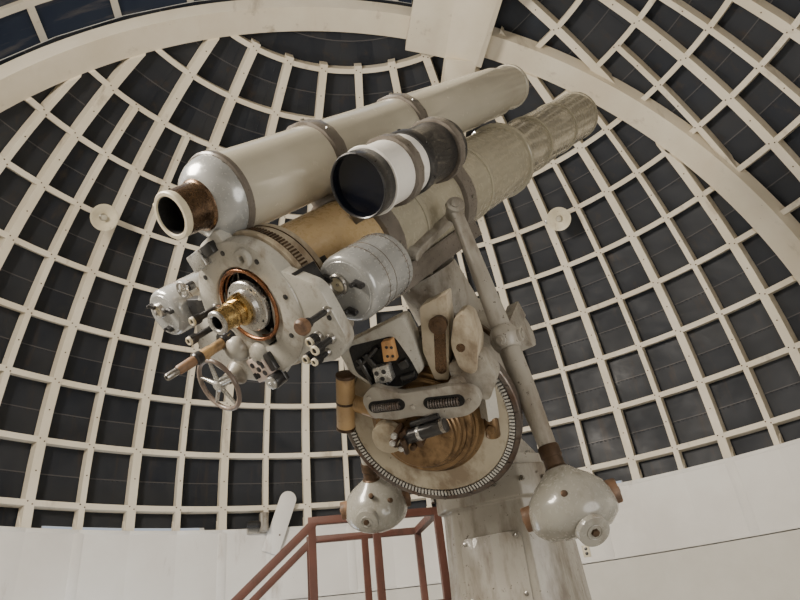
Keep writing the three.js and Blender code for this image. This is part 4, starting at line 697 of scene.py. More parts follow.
def makeBuilding(values):
    repaint("floor_slab", "concrete")
    for index in range(1, 5):
        repaint(f"drum_wall_{index}", "plaster")
    repaint("rail_ring", "railSteel")

    base = bmesh.new()
    reach = values["wallOut"] + values["plinthProud"]
    addLathe(base, world, [(values["wallOut"] - 0.01, 0.001), (reach, 0.001),
        (reach, values["plinthTop"] - 0.04), (reach - 0.03, values["plinthTop"]),
        (values["wallOut"] - 0.01, values["plinthTop"])], 120, closed=True)
    cut = aboutZ(values["doorAzimuth"])
    for side in (-1, 1):
        normal = cut @ Vector((0, side, 0))
        bmesh.ops.bisect_plane(base, geom=base.verts[:] + base.edges[:] + base.faces[:], dist=1e-5,
            plane_co=normal * (values["doorHalf"] + 0.1), plane_no=normal)
    doorway = [f for f in base.faces if (cut.inverted() @ f.calc_center_median()).x > 0
        and abs((cut.inverted() @ f.calc_center_median()).y) < values["doorHalf"] + 0.1]
    bmesh.ops.delete(base, geom=doorway, context="FACES")
    bmesh.ops.holes_fill(base, edges=[e for e in base.edges if e.is_boundary], sides=0)
    finishPiece(base, "wallPlinth", "building", "plaster", "masonry")

    trim = bmesh.new()
    for height, proud, deep in ((1.935, 0.09, 0.03), (1.905, 0.05, 0.03)):
        r = values["wallOut"]
        addLathe(trim, world, [(r - 0.01, height - deep / 2), (r + proud, height - deep / 2),
            (r + proud, height + deep / 2 - 0.001), (r - 0.01, height + deep / 2 - 0.001)], 120, closed=True)
    finishPiece(trim, "corniceMoulding", "building", "plaster", "masonry")

    door = bmesh.new()
    half, low, high, face = values["doorHalf"], values["doorLow"], values["doorHigh"], values["doorFace"]
    addBox(door, cut, (face - 0.06, -half, low), (face - 0.012, half, high), 0.002)
    for y0, y1, z0, z1 in ((-half, -half + 0.11, low, high), (half - 0.11, half, low, high),
            (-half + 0.11, half - 0.11, low, low + 0.16), (-half + 0.11, half - 0.11, high - 0.12, high),
            (-half + 0.11, half - 0.11, 0.98, 1.09)):
        addBoxes(door, cut,
            ((face - 0.013, y0, z0), (face, y1, z1), 0.003),
            ((face - 0.073, y0, z0), (face - 0.059, y1, z1), 0.003))
    for z0, z1 in ((low + 0.16, 0.98), (1.09, high - 0.12)):
        addBox(door, cut, (face - 0.016, -half + 0.16, z0 + 0.05), (face - 0.006, half - 0.16, z1 - 0.05),
            0.004)
    finishPiece(door, "doorLeaf", "building", "doorPaint", "door_steel", ("drum_door",))

    fittings = bmesh.new()
    for z in (0.35, 1.02, 1.70):
        addRod(fittings, cut, (face + 0.006, half - 0.012, z - 0.055),
            (face + 0.006, half - 0.012, z + 0.055), 0.009, sides=16, width=0.002)
    addPlate(fittings, cut @ Matrix.Translation((face, 0, 0)) @ quarterTurn("Y"),
        [(-1.14, -half + 0.03), (-0.94, -half + 0.03), (-0.94, -half + 0.08), (-1.14, -half + 0.08)], 0,
        0.004, 0.001, 0.008)
    addRods(fittings, cut,
        ((face, -half + 0.055, 1.08), (face + 0.05, -half + 0.055, 1.08), 0.010, 20, 0.002),
        ((face + 0.045, -half + 0.045, 1.08), (face + 0.045, -half + 0.175, 1.08), 0.009, 20, 0.003),
        ((face, -half + 0.055, 0.98), (face + 0.008, -half + 0.055, 0.98), 0.012, 20, 0.002))
    finishPiece(fittings, "doorFittings", "building", "turnedSteel", "rail_steel")

    sill = bmesh.new()
    addBox(sill, cut, (4.50, -0.62, 0.002), (4.92, 0.62, 0.115), 0.01)
    finishPiece(sill, "doorStep", "building", "concrete", "masonry")

    clips = bmesh.new()
    for k in range(ribCount):
        turn = aboutZ(bayWide * (k + 0.5))
        addBox(clips, turn, (4.602, -0.03, 2.1505), (4.632, 0.03, 2.166), 0.002)
        addBolt(clips, turn, (4.615, 0, 2.166), (0, 0, 1), 0.010, 0.010)
        addBox(clips, turn, (4.706, -0.03, 2.1505), (4.736, 0.03, 2.160), 0.002)
    finishPiece(clips, "railClips", "building", "railSteel", "rail_steel")


makeBuilding(buildingValues)
print("building made")

# Dome frame: ribs and rings, bolted where they cross

frameValues = {
    "face": 4.570, "back": 4.690, "ringFace": 4.574, "mainWidth": 0.085, "lightWidth": 0.055,
    "ringWidth": 0.055, "foot": 2.9775, "rings": 10, "lightTop": 50.9, "mainTop": 66.2,
    "archSide": 1.5175, "rearSide": 1.2243, "headerAngle": 112.5, "laps": 4.708,
}


def ribAngle(n):
    return -90 + bayWide * n


def ringAngle(j):
    return levelFirst + levelHigh * j


def ribShape(values, n):
    # face, half its width and top of a rib, of which every second one is a main rib
    if n % 2 == 0:
        return values["face"], values["mainWidth"] / 2, values["mainTop"]
    return values["face"] + 0.002, values["lightWidth"] / 2, values["lightTop"]


def frameWhole(values):
    back = values["back"]
    bm = bmesh.new()
    for n in range(ribCount):
        face, half, top = ribShape(values, n)
        low, high = asin((values["foot"] - domeCentre.z) / values["face"]), radians(top)
        part = bmesh.new()
        corners = [(face, -half), (face, half), (back, half), (back, -half)]
        verts = [part.verts.new((r * cos(low), y, r * sin(low))) for r, y in corners]
        edges = [part.edges.new(pair) for pair in zip(verts, verts[1:] + verts[:1])]
        bmesh.ops.spin(part, geom=verts + edges, cent=(0, 0, 0), axis=(0, 1, 0), angle=-(high - low),
            steps=20 if n % 2 == 0 else 16, use_duplicate=False)
        bmesh.ops.holes_fill(part, edges=[e for e in part.edges if e.is_boundary], sides=4)
        addPart(bm, part, Matrix.Translation(domeCentre) @ aboutZ(ribAngle(n)))
    for j in range(values["rings"]):
        a = radians(ringAngle(j))
        out, up = Vector((cos(a), 0, sin(a))), Vector((-sin(a), 0, cos(a)))
        half = values["ringWidth"] / 2
        corners = [out * r + up * h for r, h in ((values["ringFace"], -half), (values["ringFace"], half),
            (back + 0.004, half), (back + 0.004, -half))]
        addLathe(bm, Matrix.Translation(domeCentre), [(p.x, p.z) for p in corners], 120, closed=True)
    cutAway(bm, (0, 0, values["foot"]), (0, 0, 1))
    return bm


def slitCuts(side, rear, at, behind):
    # the planes that bound the parts left and right of the slit and behind it
    left, right = Vector((-1, 0, 0)), Vector((1, 0, 0))
    return {
        "left": [(left * side, left)],
        "right": [(right * side, right)],
        "rear": [(left * rear, right), (right * rear, left), (at, behind)],
    }


def inFrame(point, cuts, margin):
    return any(all((point - at).dot(normal) > margin for at, normal in planes) for planes in cuts.values())


def makeFrame(values):
    a = radians(values["headerAngle"])
    cuts = slitCuts(values["archSide"], values["rearSide"], domeCentre, Vector((0, sin(a), cos(a))))
    for name, planes in cuts.items():
        bm = frameWhole(values)
        for at, normal in planes:
            cutAway(bm, at, normal)
        finishPiece(bm, f"frame{name.capitalize()}", "dome", "creamPaint", "frame_paint",
            (f"lattice_{name}",))

    bolts, feet, laps = bmesh.new(), bmesh.new(), bmesh.new()
    for n in range(ribCount):
        azimuth = ribAngle(n)
        face, half, top = ribShape(values, n)
        turn = aboutZ(azimuth)
        if inFrame(onSphere(azimuth, -4, values["face"]), cuts, 0.05):
            for side in (-1, 1):
                y = side * (half + 0.004)
                outline = [(4.585, 0), (4.665, 0), (4.665, 0.11), (4.645, 0.11), (4.585, 0.03)]
                addPlate(feet, turn @ Matrix.Translation((0, y, values["foot"])) @ quarterTurn("X"), outline,
                    -0.004, 0.004, 0.0)
            addBox(feet, turn, (4.60, -0.09, values["foot"]), (4.66, 0.09, values["foot"] + 0.008), 0.002)
        for j in range(values["rings"]):
            for shift, spread in ((0.0, 0.022), (0.5, 0.0)):
                elevation = ringAngle(j + shift)
                if elevation > top or not inFrame(onSphere(azimuth, elevation, values["face"]), cuts, 0.05):
                    continue
                inward = domeCentre - onSphere(azimuth, elevation, 1)
                across = turn @ Vector((0, 1, 0))
                for side in ((-1, 1) if spread else (0,)):
                    at = onSphere(azimuth, elevation + side * 0.16, face) + across * side * spread
                    addBolt(bolts, world, at, inward, 0.0085, 0.004)
    finishPiece(bolts, "frameBolts", "dome", "brownIron", "rail_steel")
    finishPiece(feet, "frameFeet", "dome", "creamPaint", "frame_paint")

    for n in range(ribCount):
        for j in range(values["rings"] - 1):
            corners = [onSphere(ribAngle(n + i), ringAngle(j + k), values["laps"])
                for i, k in ((0, 0), (1, 0), (1, 1), (0, 1))]
            middle = sum(corners, Vector()) / 4
            if not inFrame(onSphere(ribAngle(n + 0.5), ringAngle(j + 0.5), 4.6), cuts, 0.30):
                continue
            across = (corners[1] - corners[0]).normalized()
            up = (corners[3] + corners[2] - corners[0] - corners[1]).normalized()
            outward = across.cross(up).normalized()
            if outward.dot(middle - domeCentre) < 0:
                outward = -outward
            place = Matrix((across, up, outward)).transposed().to_4x4()
            place = Matrix.Translation(middle) @ place
            half = (corners[2] - corners[3]).length / 4 + (corners[1] - corners[0]).length / 4
            addBox(laps, place, (-half, -0.006, -0.0045), (half, 0.006, 0.0005))
            if j > 6 and n % 2 == 0:
                addBox(laps, place, (-0.008, -0.30, -0.004), (0.008, 0.30, 0.0005))
    finishPiece(laps, "skinLaps", "dome", "sheetSkin", "sheet")


makeFrame(frameValues)
for node in ("skin_left_front", "skin_left_rear", "skin_right_front", "skin_right_rear", "skin_rear"):
    repaint(node, "sheetSkin")
print("dome frame made")

# Cover strips over the joints of the skin, outside

coverValues = {"side": 1.30, "rear": 1.20, "rearFrom": 0.85, "radius": 4.7285, "top": 74}


def makeCoverStrips(values):
    bm = bmesh.new()
    cuts = slitCuts(values["side"], values["rear"], Vector((0, values["rearFrom"], 0)), Vector((0, 1, 0)))
    for n in range(0, ribCount, 2):
        azimuth = ribAngle(n)
        stops = [j for j in range(11) if ringAngle(j) < values["top"]
            and inFrame(onSphere(azimuth, ringAngle(j), 4.73), cuts, 0)]
        for j, k in zip(stops, stops[1:]):
            if k != j + 1:
                continue
            a, b = (onSphere(azimuth, ringAngle(level), values["radius"]) for level in (j, k))
            out = ((a + b) / 2 - domeCentre).normalized()
            up = (b - a).normalized()
            place = Matrix.Translation((a + b) / 2) @ Matrix((up.cross(out), up, out)).transposed().to_4x4()
            half = (b - a).length / 2
            addBox(bm, place, (-0.03, -half, -0.004), (0.03, half, 0.005))
            for t in (-0.75, -0.25, 0.25, 0.75):
                addBolt(bm, place, (0, t * half, 0.005), (0, 0, 1), 0.007, 0.004)
    finishPiece(bm, "coverStrips", "dome", "skirtPaint", "sheet")


makeCoverStrips(coverValues)

# Arches and header

archValues = {"inner": 1.225, "outer": 1.517, "soffit": 4.340, "outerTop": 4.430, "innerTop": 4.497,
    "plate": 0.014}


def makeArches(values):
    inner, outer, soffit = values["inner"], values["outer"], values["soffit"]
    p = values["plate"]
    for side, name in ((-1, "left"), (1, "right")):
        bm = bmesh.new()
        profile = [(inner, soffit), (outer, soffit), (outer, values["outerTop"]),
            (outer - p, values["outerTop"]), (outer - p, soffit + p), (inner + p, soffit + p),
            (inner + p, values["innerTop"]), (inner, values["innerTop"])]
        sweepArch(bm, [(side * x, r) for x, r in profile], -6, 186, 128)
        seams = (6, 22, 38, 54, 70, 86, 102, 118, 134, 150, 166, 178)
        for a in seams:
            edge = [(side * (inner + 0.002), soffit - 0.0022), (side * (outer - 0.002), soffit - 0.0022),
                (side * (outer - 0.002), soffit + 0.004), (side * (inner + 0.002), soffit + 0.004)]
            sweepArch(bm, edge, a - 0.07, a + 0.07, 1)
        cutAway(bm, (0, 0, frameValues["foot"]), (0, 0, 1))
        finishPiece(bm, f"arch{name.capitalize()}", "dome", "creamPaint", "frame_paint", (f"arch_{name}",))

        bolts = bmesh.new()
        for k in range(0, 74):
            a = radians(0.5 + 2.5 * k)
            if sin(a) * soffit < -0.3:
                continue
            inward = Vector((0, cos(a), -sin(a)))
            for x in (inner + 0.03, outer - 0.03):
                at = domeCentre + Vector((side * x, -soffit * cos(a), soffit * sin(a)))
                addBolt(bolts, world, at, inward, 0.008, 0.003)
        finishPiece(bolts, f"archRivets{name.capitalize()}", "dome", "creamPaint", "frame_paint")

    dressed("slit_header", "dome", "creamPaint", "frame_paint", 0.005)


makeArches(archValues)
print("arches made")

# Shutter leaves and rails

leafShape = {
    "edge": 0.500, "width": 1.540, "inner": 4.790, "middle": 4.8285, "sheet": 4.8475, "start": -2, "end": 116,
    "member": 0.070, "longs": (0.0, 0.470, 0.970, 1.470), "crosses": 14,
}


def makeLeaf(side, name, values):
    inner, middle, start, end = (values[key] for key in ("inner", "middle", "start", "end"))
    near, far = values["edge"], values["edge"] + values["width"]
    sheet = bmesh.new()
    strip = [(near, middle), (far, middle), (far, values["sheet"]), (near, values["sheet"])]
    sweepArch(sheet, [(side * x, r) for x, r in strip], start, end, 72)
    finishPiece(sheet, f"leafSheet{name}", f"leaf_{name.lower()}", "leafSheet", "sheet",
        (f"shutter_{name.lower()}",))

    members = bmesh.new()
    for x in values["longs"]:
        x0, x1 = near + x, near + x + values["member"]
        box = [(x0, inner), (x1, inner), (x1, inner + 0.008), (x0 + 0.010, inner + 0.008),
            (x0 + 0.010, middle + 0.002), (x0, middle + 0.002)]
        sweepArch(members, [(side * u, r) for u, r in box], start, end, 72)
    half = 0.42
    for k in range(values["crosses"]):
        a = start + 0.6 + k * (end - start - 1.2) / (values["crosses"] - 1)
        cross = [(near + 0.005, inner + 0.006), (far - 0.005, inner + 0.006), (far - 0.005, middle + 0.002),
            (near + 0.005, middle + 0.002)]
        sweepArch(members, [(side * u, r) for u, r in cross], a - half / 2, a + half / 2, 1)
        sweepArch(members, [(side * u, r if r > inner + 0.01 else r - 0.003)
            for u, r in [(cross[0][0], inner + 0.006), (cross[1][0], inner + 0.006),
            (cross[1][0], inner + 0.012), (cross[0][0], inner + 0.012)]], a - half, a + half, 1)
    finishPiece(members, f"leafFrame{name}", f"leaf_{name.lower()}", "creamPaint", "frame_paint",
        (f"shutter_{name.lower()}",))

    shoes = bmesh.new()
    for x in (near + 0.10, near + 0.60, near + 1.02, far - 0.12):
        addBox(shoes, world, (side * x - 0.05, -4.866, 3.06), (side * x + 0.05, -4.848, 3.30), 0.004)
        for z in (3.20, 3.26):
            for dx in (-0.03, 0.03):
                addBolt(shoes, world, (side * x + dx, -4.866, z), (0, -1, 0), 0.009, 0.006)
    finishPiece(shoes, f"leafShoes{name}", f"leaf_{name.lower()}", "railSteel", "track_steel")


for side, name in ((-1, "Left"), (1, "Right")):
    makeLeaf(side, name, leafShape)
dressed("shutter_rail_bottom", "dome", "railSteel", "track_steel", 0.004)
dressed("shutter_rail_top", "dome", "railSteel", "track_steel", 0.004)
print("shutter made")

# Skirt: strips over its joints, a lower angle, bolts and a socket plate

skirtValues = {"inside": 4.5505, "liner": 4.557, "low": 2.232, "high": 2.977, "outside": 4.745,
    "seamFirst": -144, "seamStep": 18}


def makeSkirt(values):
    for index in range(1, 4):
        repaint(f"skirt_{index}", "skirtPaint")
    strips, bolts = bmesh.new(), bmesh.new()
    for k in range(20):
        turn = aboutZ(values["seamFirst"] + values["seamStep"] * k)
        addBox(strips, turn, (values["inside"] + 0.0006, -0.045, values["low"] + 0.01),
            (values["inside"] + 0.0042, 0.045, values["high"] - 0.03), 0.001)
        for z in (2.30, 2.42, 2.54, 2.66, 2.78, 2.90):
            for y in (-0.028, 0.028):
                addBolt(bolts, turn, (values["inside"] + 0.0006, y, z), (-1, 0, 0), 0.006, 0.003)
        outer = values["outside"] * cos(radians(3))
        addBox(strips, aboutZ(values["seamFirst"] + values["seamStep"] * k + 3), (outer - 0.002, -0.04, 2.19),
            (outer + 0.004, 0.04, 2.96), 0.001)
    face, half = values["liner"] * cos(radians(3)), values["liner"] * sin(radians(3))
    for k in range(ribCount):
        turn = aboutZ(bayWide * (k + 0.5))
        addBoxes(strips, turn,
            ((face - 0.004, -half, 2.9375), (face + 0.002, half, 2.9765), 0.001),
            ((face - 0.003, -half, 2.2335), (face + 0.002, half, 2.262), 0.001))
        for y in (-0.16, 0.0, 0.16):
            addBolt(bolts, turn, (face - 0.004, y, 2.957), (-1, 0, 0), 0.0075, 0.004)
        addBolt(bolts, turn, (face - 0.003, 0.08, 2.248), (-1, 0, 0), 0.006, 0.003)
    finishPiece(strips, "skirtStrips", "dome", "skirtPaint", "skirt_paint")
    finishPiece(bolts, "skirtBolts", "dome", "skirtPaint", "skirt_paint")

    plate, holes = bmesh.new(), bmesh.new()
    turn = aboutZ(147) @ Matrix.Translation((4.5485, 0.0, 2.351))
    addBox(plate, turn, (-0.006, -0.04, -0.06), (0.003, 0.04, 0.06), 0.003)
    # the plate's two holes are black discs on its face: painted shade
    for z in (-0.024, 0.024):
        addRod(holes, turn, (-0.009, 0, z), (-0.003, 0, z), 0.017, sides=20, width=0.001)
    finishPiece(plate, "socketPlate", "dome", "ivory", "skirt_paint")
    finishPiece(holes, "socketHoleShade", "dome", "blackPaint", "dark_casting")


makeSkirt(skirtValues)

# Lamps, drive unit and board inside the dome

lampValues = {"rib": 138, "elevation": 35.71, "stand": 0.200, "rim": 0.140, "deep": 0.045}


def makeLamp(side, name, values):
    base = onSphere(side * values["rib"], values["elevation"], 4.569)
    dish = onSphere(side * (values["rib"] - 3), values["elevation"] - 0.3, 4.570 - values["stand"])
    inward = (domeCentre - base).normalized()
    place = aimed(dish, inward)
    shade = bmesh.new()
    rim, deep = values["rim"], values["deep"]
    addLathe(shade, place, [(0.036, 0.000), (0.060, 0.006), (0.105, 0.026), (rim - 0.004, deep - 0.003),
        (rim, deep - 0.002), (rim, deep), (rim - 0.006, deep), (0.103, 0.031), (0.058, 0.011),
        (0.036, 0.006)], 40, closed=True)
    finishPiece(shade, f"lampShade{name}", "dome", "ivory", "white_enamel", (f"lamp_{name.lower()}",))
    stem = bmesh.new()
    addRod(stem, world, base + inward * 0.02, dish + inward * 0.005, 0.013, sides=16)
    addRod(stem, world, base, base + inward * 0.04, 0.026, 0.020, 20, 0.003)
    addLathe(stem, place, [(0, -0.004), (0.040, -0.004), (0.040, 0.008), (0.030, 0.022), (0, 0.022)], 24)
    finishPiece(stem, f"lampStem{name}", "dome", "turnedSteel", "rail_steel")
    turnedPiece(f"lampBulb{name}", ("dome", "guidePaint", "white_enamel"), place,
        [(0, 0.018), (0.018, 0.020), (0.029, 0.034), (0.031, 0.046), (0.024, 0.053), (0, 0.0548)], 28)


makeLamp(-1, "Left", lampValues)
makeLamp(1, "Right", lampValues)

unitValues = {"azimuth": -165, "aside": -0.140, "face": 4.5508, "level": 2.977}


def makeDriveUnit(values):
    place = aboutZ(values["azimuth"]) @ Matrix.Translation((values["face"], values["aside"], values["level"]))
    case = bmesh.new()
    addBoxes(case, place,
        ((-0.04, -0.095, -0.06), (-0.0006, 0.12, 0.04), 0.004),
        ((-0.13, -0.095, -0.05), (-0.03, -0.01, 0.15), 0.010),
        ((-0.134, -0.085, -0.04), (-0.128, -0.02, 0.14), 0.003))
    for z in (-0.03, 0.13):
        for y in (-0.075, -0.03):
            addBolt(case, place, (-0.134, y, z), (-1, 0, 0), 0.006, 0.004)
    finishPiece(case, "driveCase", "dome", "mountPaint", "casting", ("drive_unit",))
    motor = bmesh.new()
    turn = place @ Matrix.Translation((-0.1, 0, 0.02)) @ Matrix.Rotation(-pi / 2, 4, "X")
    addLathe(motor, turn, [(0, -0.008), (0.036, -0.008), (0.040, 0.0), (0.040, 0.022), (0.040, 0.118),
        (0.036, 0.136), (0.018, 0.139), (0, 0.139)], 32)
    for k in range(10):
        addTorus(motor, turn, (0, 0, 0.024 + 0.0095 * k), 0.0425, 0.0024, 32, 6)
    finishPiece(motor, "driveMotor", "dome", "blackPaint", "dark_casting")


makeDriveUnit(unitValues)

boardValues = {"azimuth": -171, "aside": 0.095, "lean": 20, "half": 0.095, "low": -0.310, "high": 0.290}


def makeBoard(values):
    face = unitValues["face"]
    frameOf = aboutZ(values["azimuth"]) @ Matrix.Translation((face - 0.04, values["aside"], 2.997))
    place = frameOf @ Matrix.Rotation(radians(values["lean"]), 4, "X") @ quarterTurn("Y")
    half, low, high = values["half"], values["low"], values["high"]
    outline = [(-low, -half), (-low, half)]
    outline += [(-high - half * sin(radians(t)), half * cos(radians(t))) for t in range(0, 181, 10)]
    board = bmesh.new()
    addPlate(board, place, outline, -0.012, 0.012, 0.003)
    finishPiece(board, "boardPlate", "dome", "skirtPaint", "white_enamel", ("guide_board",))
    hold = bmesh.new()
    addBox(hold, frameOf, (0.0, -0.03, -0.14), (0.0392, 0.03, -0.08), 0.004)
    addBolt(hold, frameOf, (-0.012, 0, -0.11), (-1, 0, 0), 0.011, 0.008)
    finishPiece(hold, "boardBracket", "dome", "railSteel", "rail_steel")


makeBoard(boardValues)
print("dome fittings made")

# Pier and polar base

pierValues = {"at": (0.26077, 0.27531), "turn": 51.74, "top": 2.300, "footHalf": 0.300, "topHalf": 0.228}


def makePier(values):
    dressed("pier", "building", "mountPaint", "white_enamel", 0.008)
    dressed("polar_base", "building", "mountPaint", "casting", 0.008)
    place = Matrix.Translation((*values["at"], 0)) @ aboutZ(values["turn"])
    bolts = bmesh.new()
    boltRing(bolts, place, (0, 0, values["top"] + 0.0603), 0.196, 14, (0, 0, 1), 0.014, 0.014)
    for side in (-1, 1):
        for x in (-0.18, -0.06, 0.06, 0.18):
            addBolt(bolts, place, (x, side * 0.250, 2.235), (0, side, 0), 0.012, 0.010)
            addBolt(bolts, place, (side * 0.250, x, 2.235), (side, 0, 0), 0.012, 0.010)
    boltRing(bolts, polarFrame, (0, 0, -0.655), 0.21, 12, (0, 0, -1), 0.010, 0.010)
    finishPiece(bolts, "pierBolts", "building", "turnedSteel", "rail_steel")

    lean = atan((values["footHalf"] - values["topHalf"]) / 1.96)
    half = values["footHalf"] - tan(lean) * (1.88 - 0.21)
    face = place @ Matrix.Translation((0, -half, 1.88)) @ Matrix.Rotation(-lean, 4, "X") @ quarterTurn("X")
    panel, screws = bmesh.new(), bmesh.new()
    addPlate(panel, face, [(-0.13, -0.28), (0.13, -0.28), (0.13, 0.17), (-0.13, 0.17)], -0.003, 0.006, 0.002,
        0.03)
    for x in (-0.11, 0.11):
        for y in (-0.26, -0.055, 0.15):
            addRod(screws, face, (x, y, 0.005), (x, y, 0.0095), 0.008, sides=14, width=0.001)
    finishPiece(panel, "pierPanel", "building", "mountPaint", "white_enamel")
    finishPiece(screws, "pierScrews", "building", "turnedSteel", "rail_steel")


makePier(pierValues)
print("pier made")

# Polar head with its worm wheel and levers

gearValues = {"under": -0.740, "thick": 0.050, "radius": 0.345, "face": 0.302, "teethOut": 0.325,
    "teeth": 150, "shaft": 0.0906, "closed": 0.0147}


def makeGear(values):
    under, top, face = values["under"], values["under"] + values["thick"], values["face"]
    turnedPiece("wheelFace", ("polar", "wheelCream", "dark_casting", ("polar_gear",)), polarFrame,
        [(0, under + 0.001), (0.215, under + 0.001), (0.220, under), (face - 0.004, under),
         (face, under + 0.004), (face, top), (values["shaft"], top),
         (values["shaft"], under + values["closed"]), (0, under + values["closed"])], 96)
    band = bmesh.new()
    r = values["radius"]
    addLathe(band, polarFrame, [(face + 0.0005, under + 0.008), (values["teethOut"] - 0.001, under + 0.008),
        (values["teethOut"] + 0.001, under + 0.001), (r - 0.004, under + 0.001), (r, under + 0.005),
        (r, top - 0.004), (r - 0.004, top), (face + 0.0005, top)], 96, closed=True)
    boltRing(band, polarFrame, (0, 0, under + 0.001), 0.335, 20, (0, 0, -1), 0.0075, 0.005)
    boltRing(band, polarFrame, (0, 0, top), 0.322, 24, (0, 0, 1), 0.006, 0.004)
    finishPiece(band, "wormWheel", "polar", "railSteel", "dark_casting", ("polar_gear",))
    teeth = bmesh.new()
    for k in range(values["teeth"]):
        turn = polarFrame @ aboutZ(360 * k / values["teeth"])
        addBox(teeth, turn, (face + 0.001, -0.0038, under - 0.003),
            (values["teethOut"] - 0.002, 0.0038, under + 0.009))
    finishPiece(teeth, "wormTeeth", "polar", "silverGrey", "dark_casting")


makeGear(gearValues)


def addCoil(bm, place, a, b, radius, thick, turns):
    matrix, length = alongLine(a, b)
    for k in range(turns):
        addTorus(bm, place @ matrix, (0, 0, length * (k / (turns - 1) - 0.5)), radius, thick, 20, 6)


def addSlot(bm, place, a, b, wide, low, high, width=0.0):
    # a flat plate with round ends from a to b
    a, b = Vector(a), Vector(b)
    start = atan2(b.y - a.y, b.x - a.x)
    outline = []
    for end, first in ((b, start - pi / 2), (a, start + pi / 2)):
        outline += [around(end, wide / 2, first + pi * k / 8, 0)[:2] for k in range(9)]
    addPlate(bm, place, outline, low, high, width)


# Slow-motion works in front of the worm wheel

worksValues = {
    "rest": -0.7403, "steps": ((0.185, -0.800), (0.150, -0.830), (0.130, -0.860)),
    "plate": (
        (0.211, -0.105), (0.242, -0.042), (0.176, 0.037), (0.148, 0.144), (0.130, 0.232), (0.084, 0.294),
        (0.033, 0.285), (0.011, 0.223), (0.030, 0.135), (0.077, 0.061), (0.094, -0.034), (0.137, -0.108)),
    "springs": (((0.167, -0.072), (0.142, 0.018)), ((0.104, 0.121), (0.076, 0.218))),
    "bracket": (
        (0.293, -0.135), (0.400, -0.134), (0.400, 0.161), (0.337, 0.157), (0.196, 0.127), (0.167, 0.002),
        (0.222, -0.089)),
    "opening": (
        (0.386, -0.086), (0.351, 0.093), (0.248, 0.103), (0.178, 0.100), (0.172, 0.020), (0.222, -0.075),
        (0.287, -0.112)),
    "orange": ((0.355, 0.052), (0.347, 0.093), (0.273, 0.069), (0.286, 0.021)),
    "silver": ((0.285, -0.030), (0.275, 0.036), (0.213, 0.019), (0.222, -0.050)),
    "fork": (
        (0.386, 0.223), (0.400, 0.231), (0.400, 0.336), (0.312, 0.296), (0.128, 0.190), (0.148, 0.144),
        (0.256, 0.158)),
    "oval": ((0.332, 0.336), (0.312, 0.378), (0.213, 0.361), (0.115, 0.299), (0.150, 0.256), (0.246, 0.271)),
    "side": ((0.188, 0.222), (0.175, 0.340), (0.076, 0.354), (0.008, 0.286), (0.041, 0.257), (0.108, 0.204)),
    "cap": (0.040, -0.099), "post": (0.112, 0.222),
}


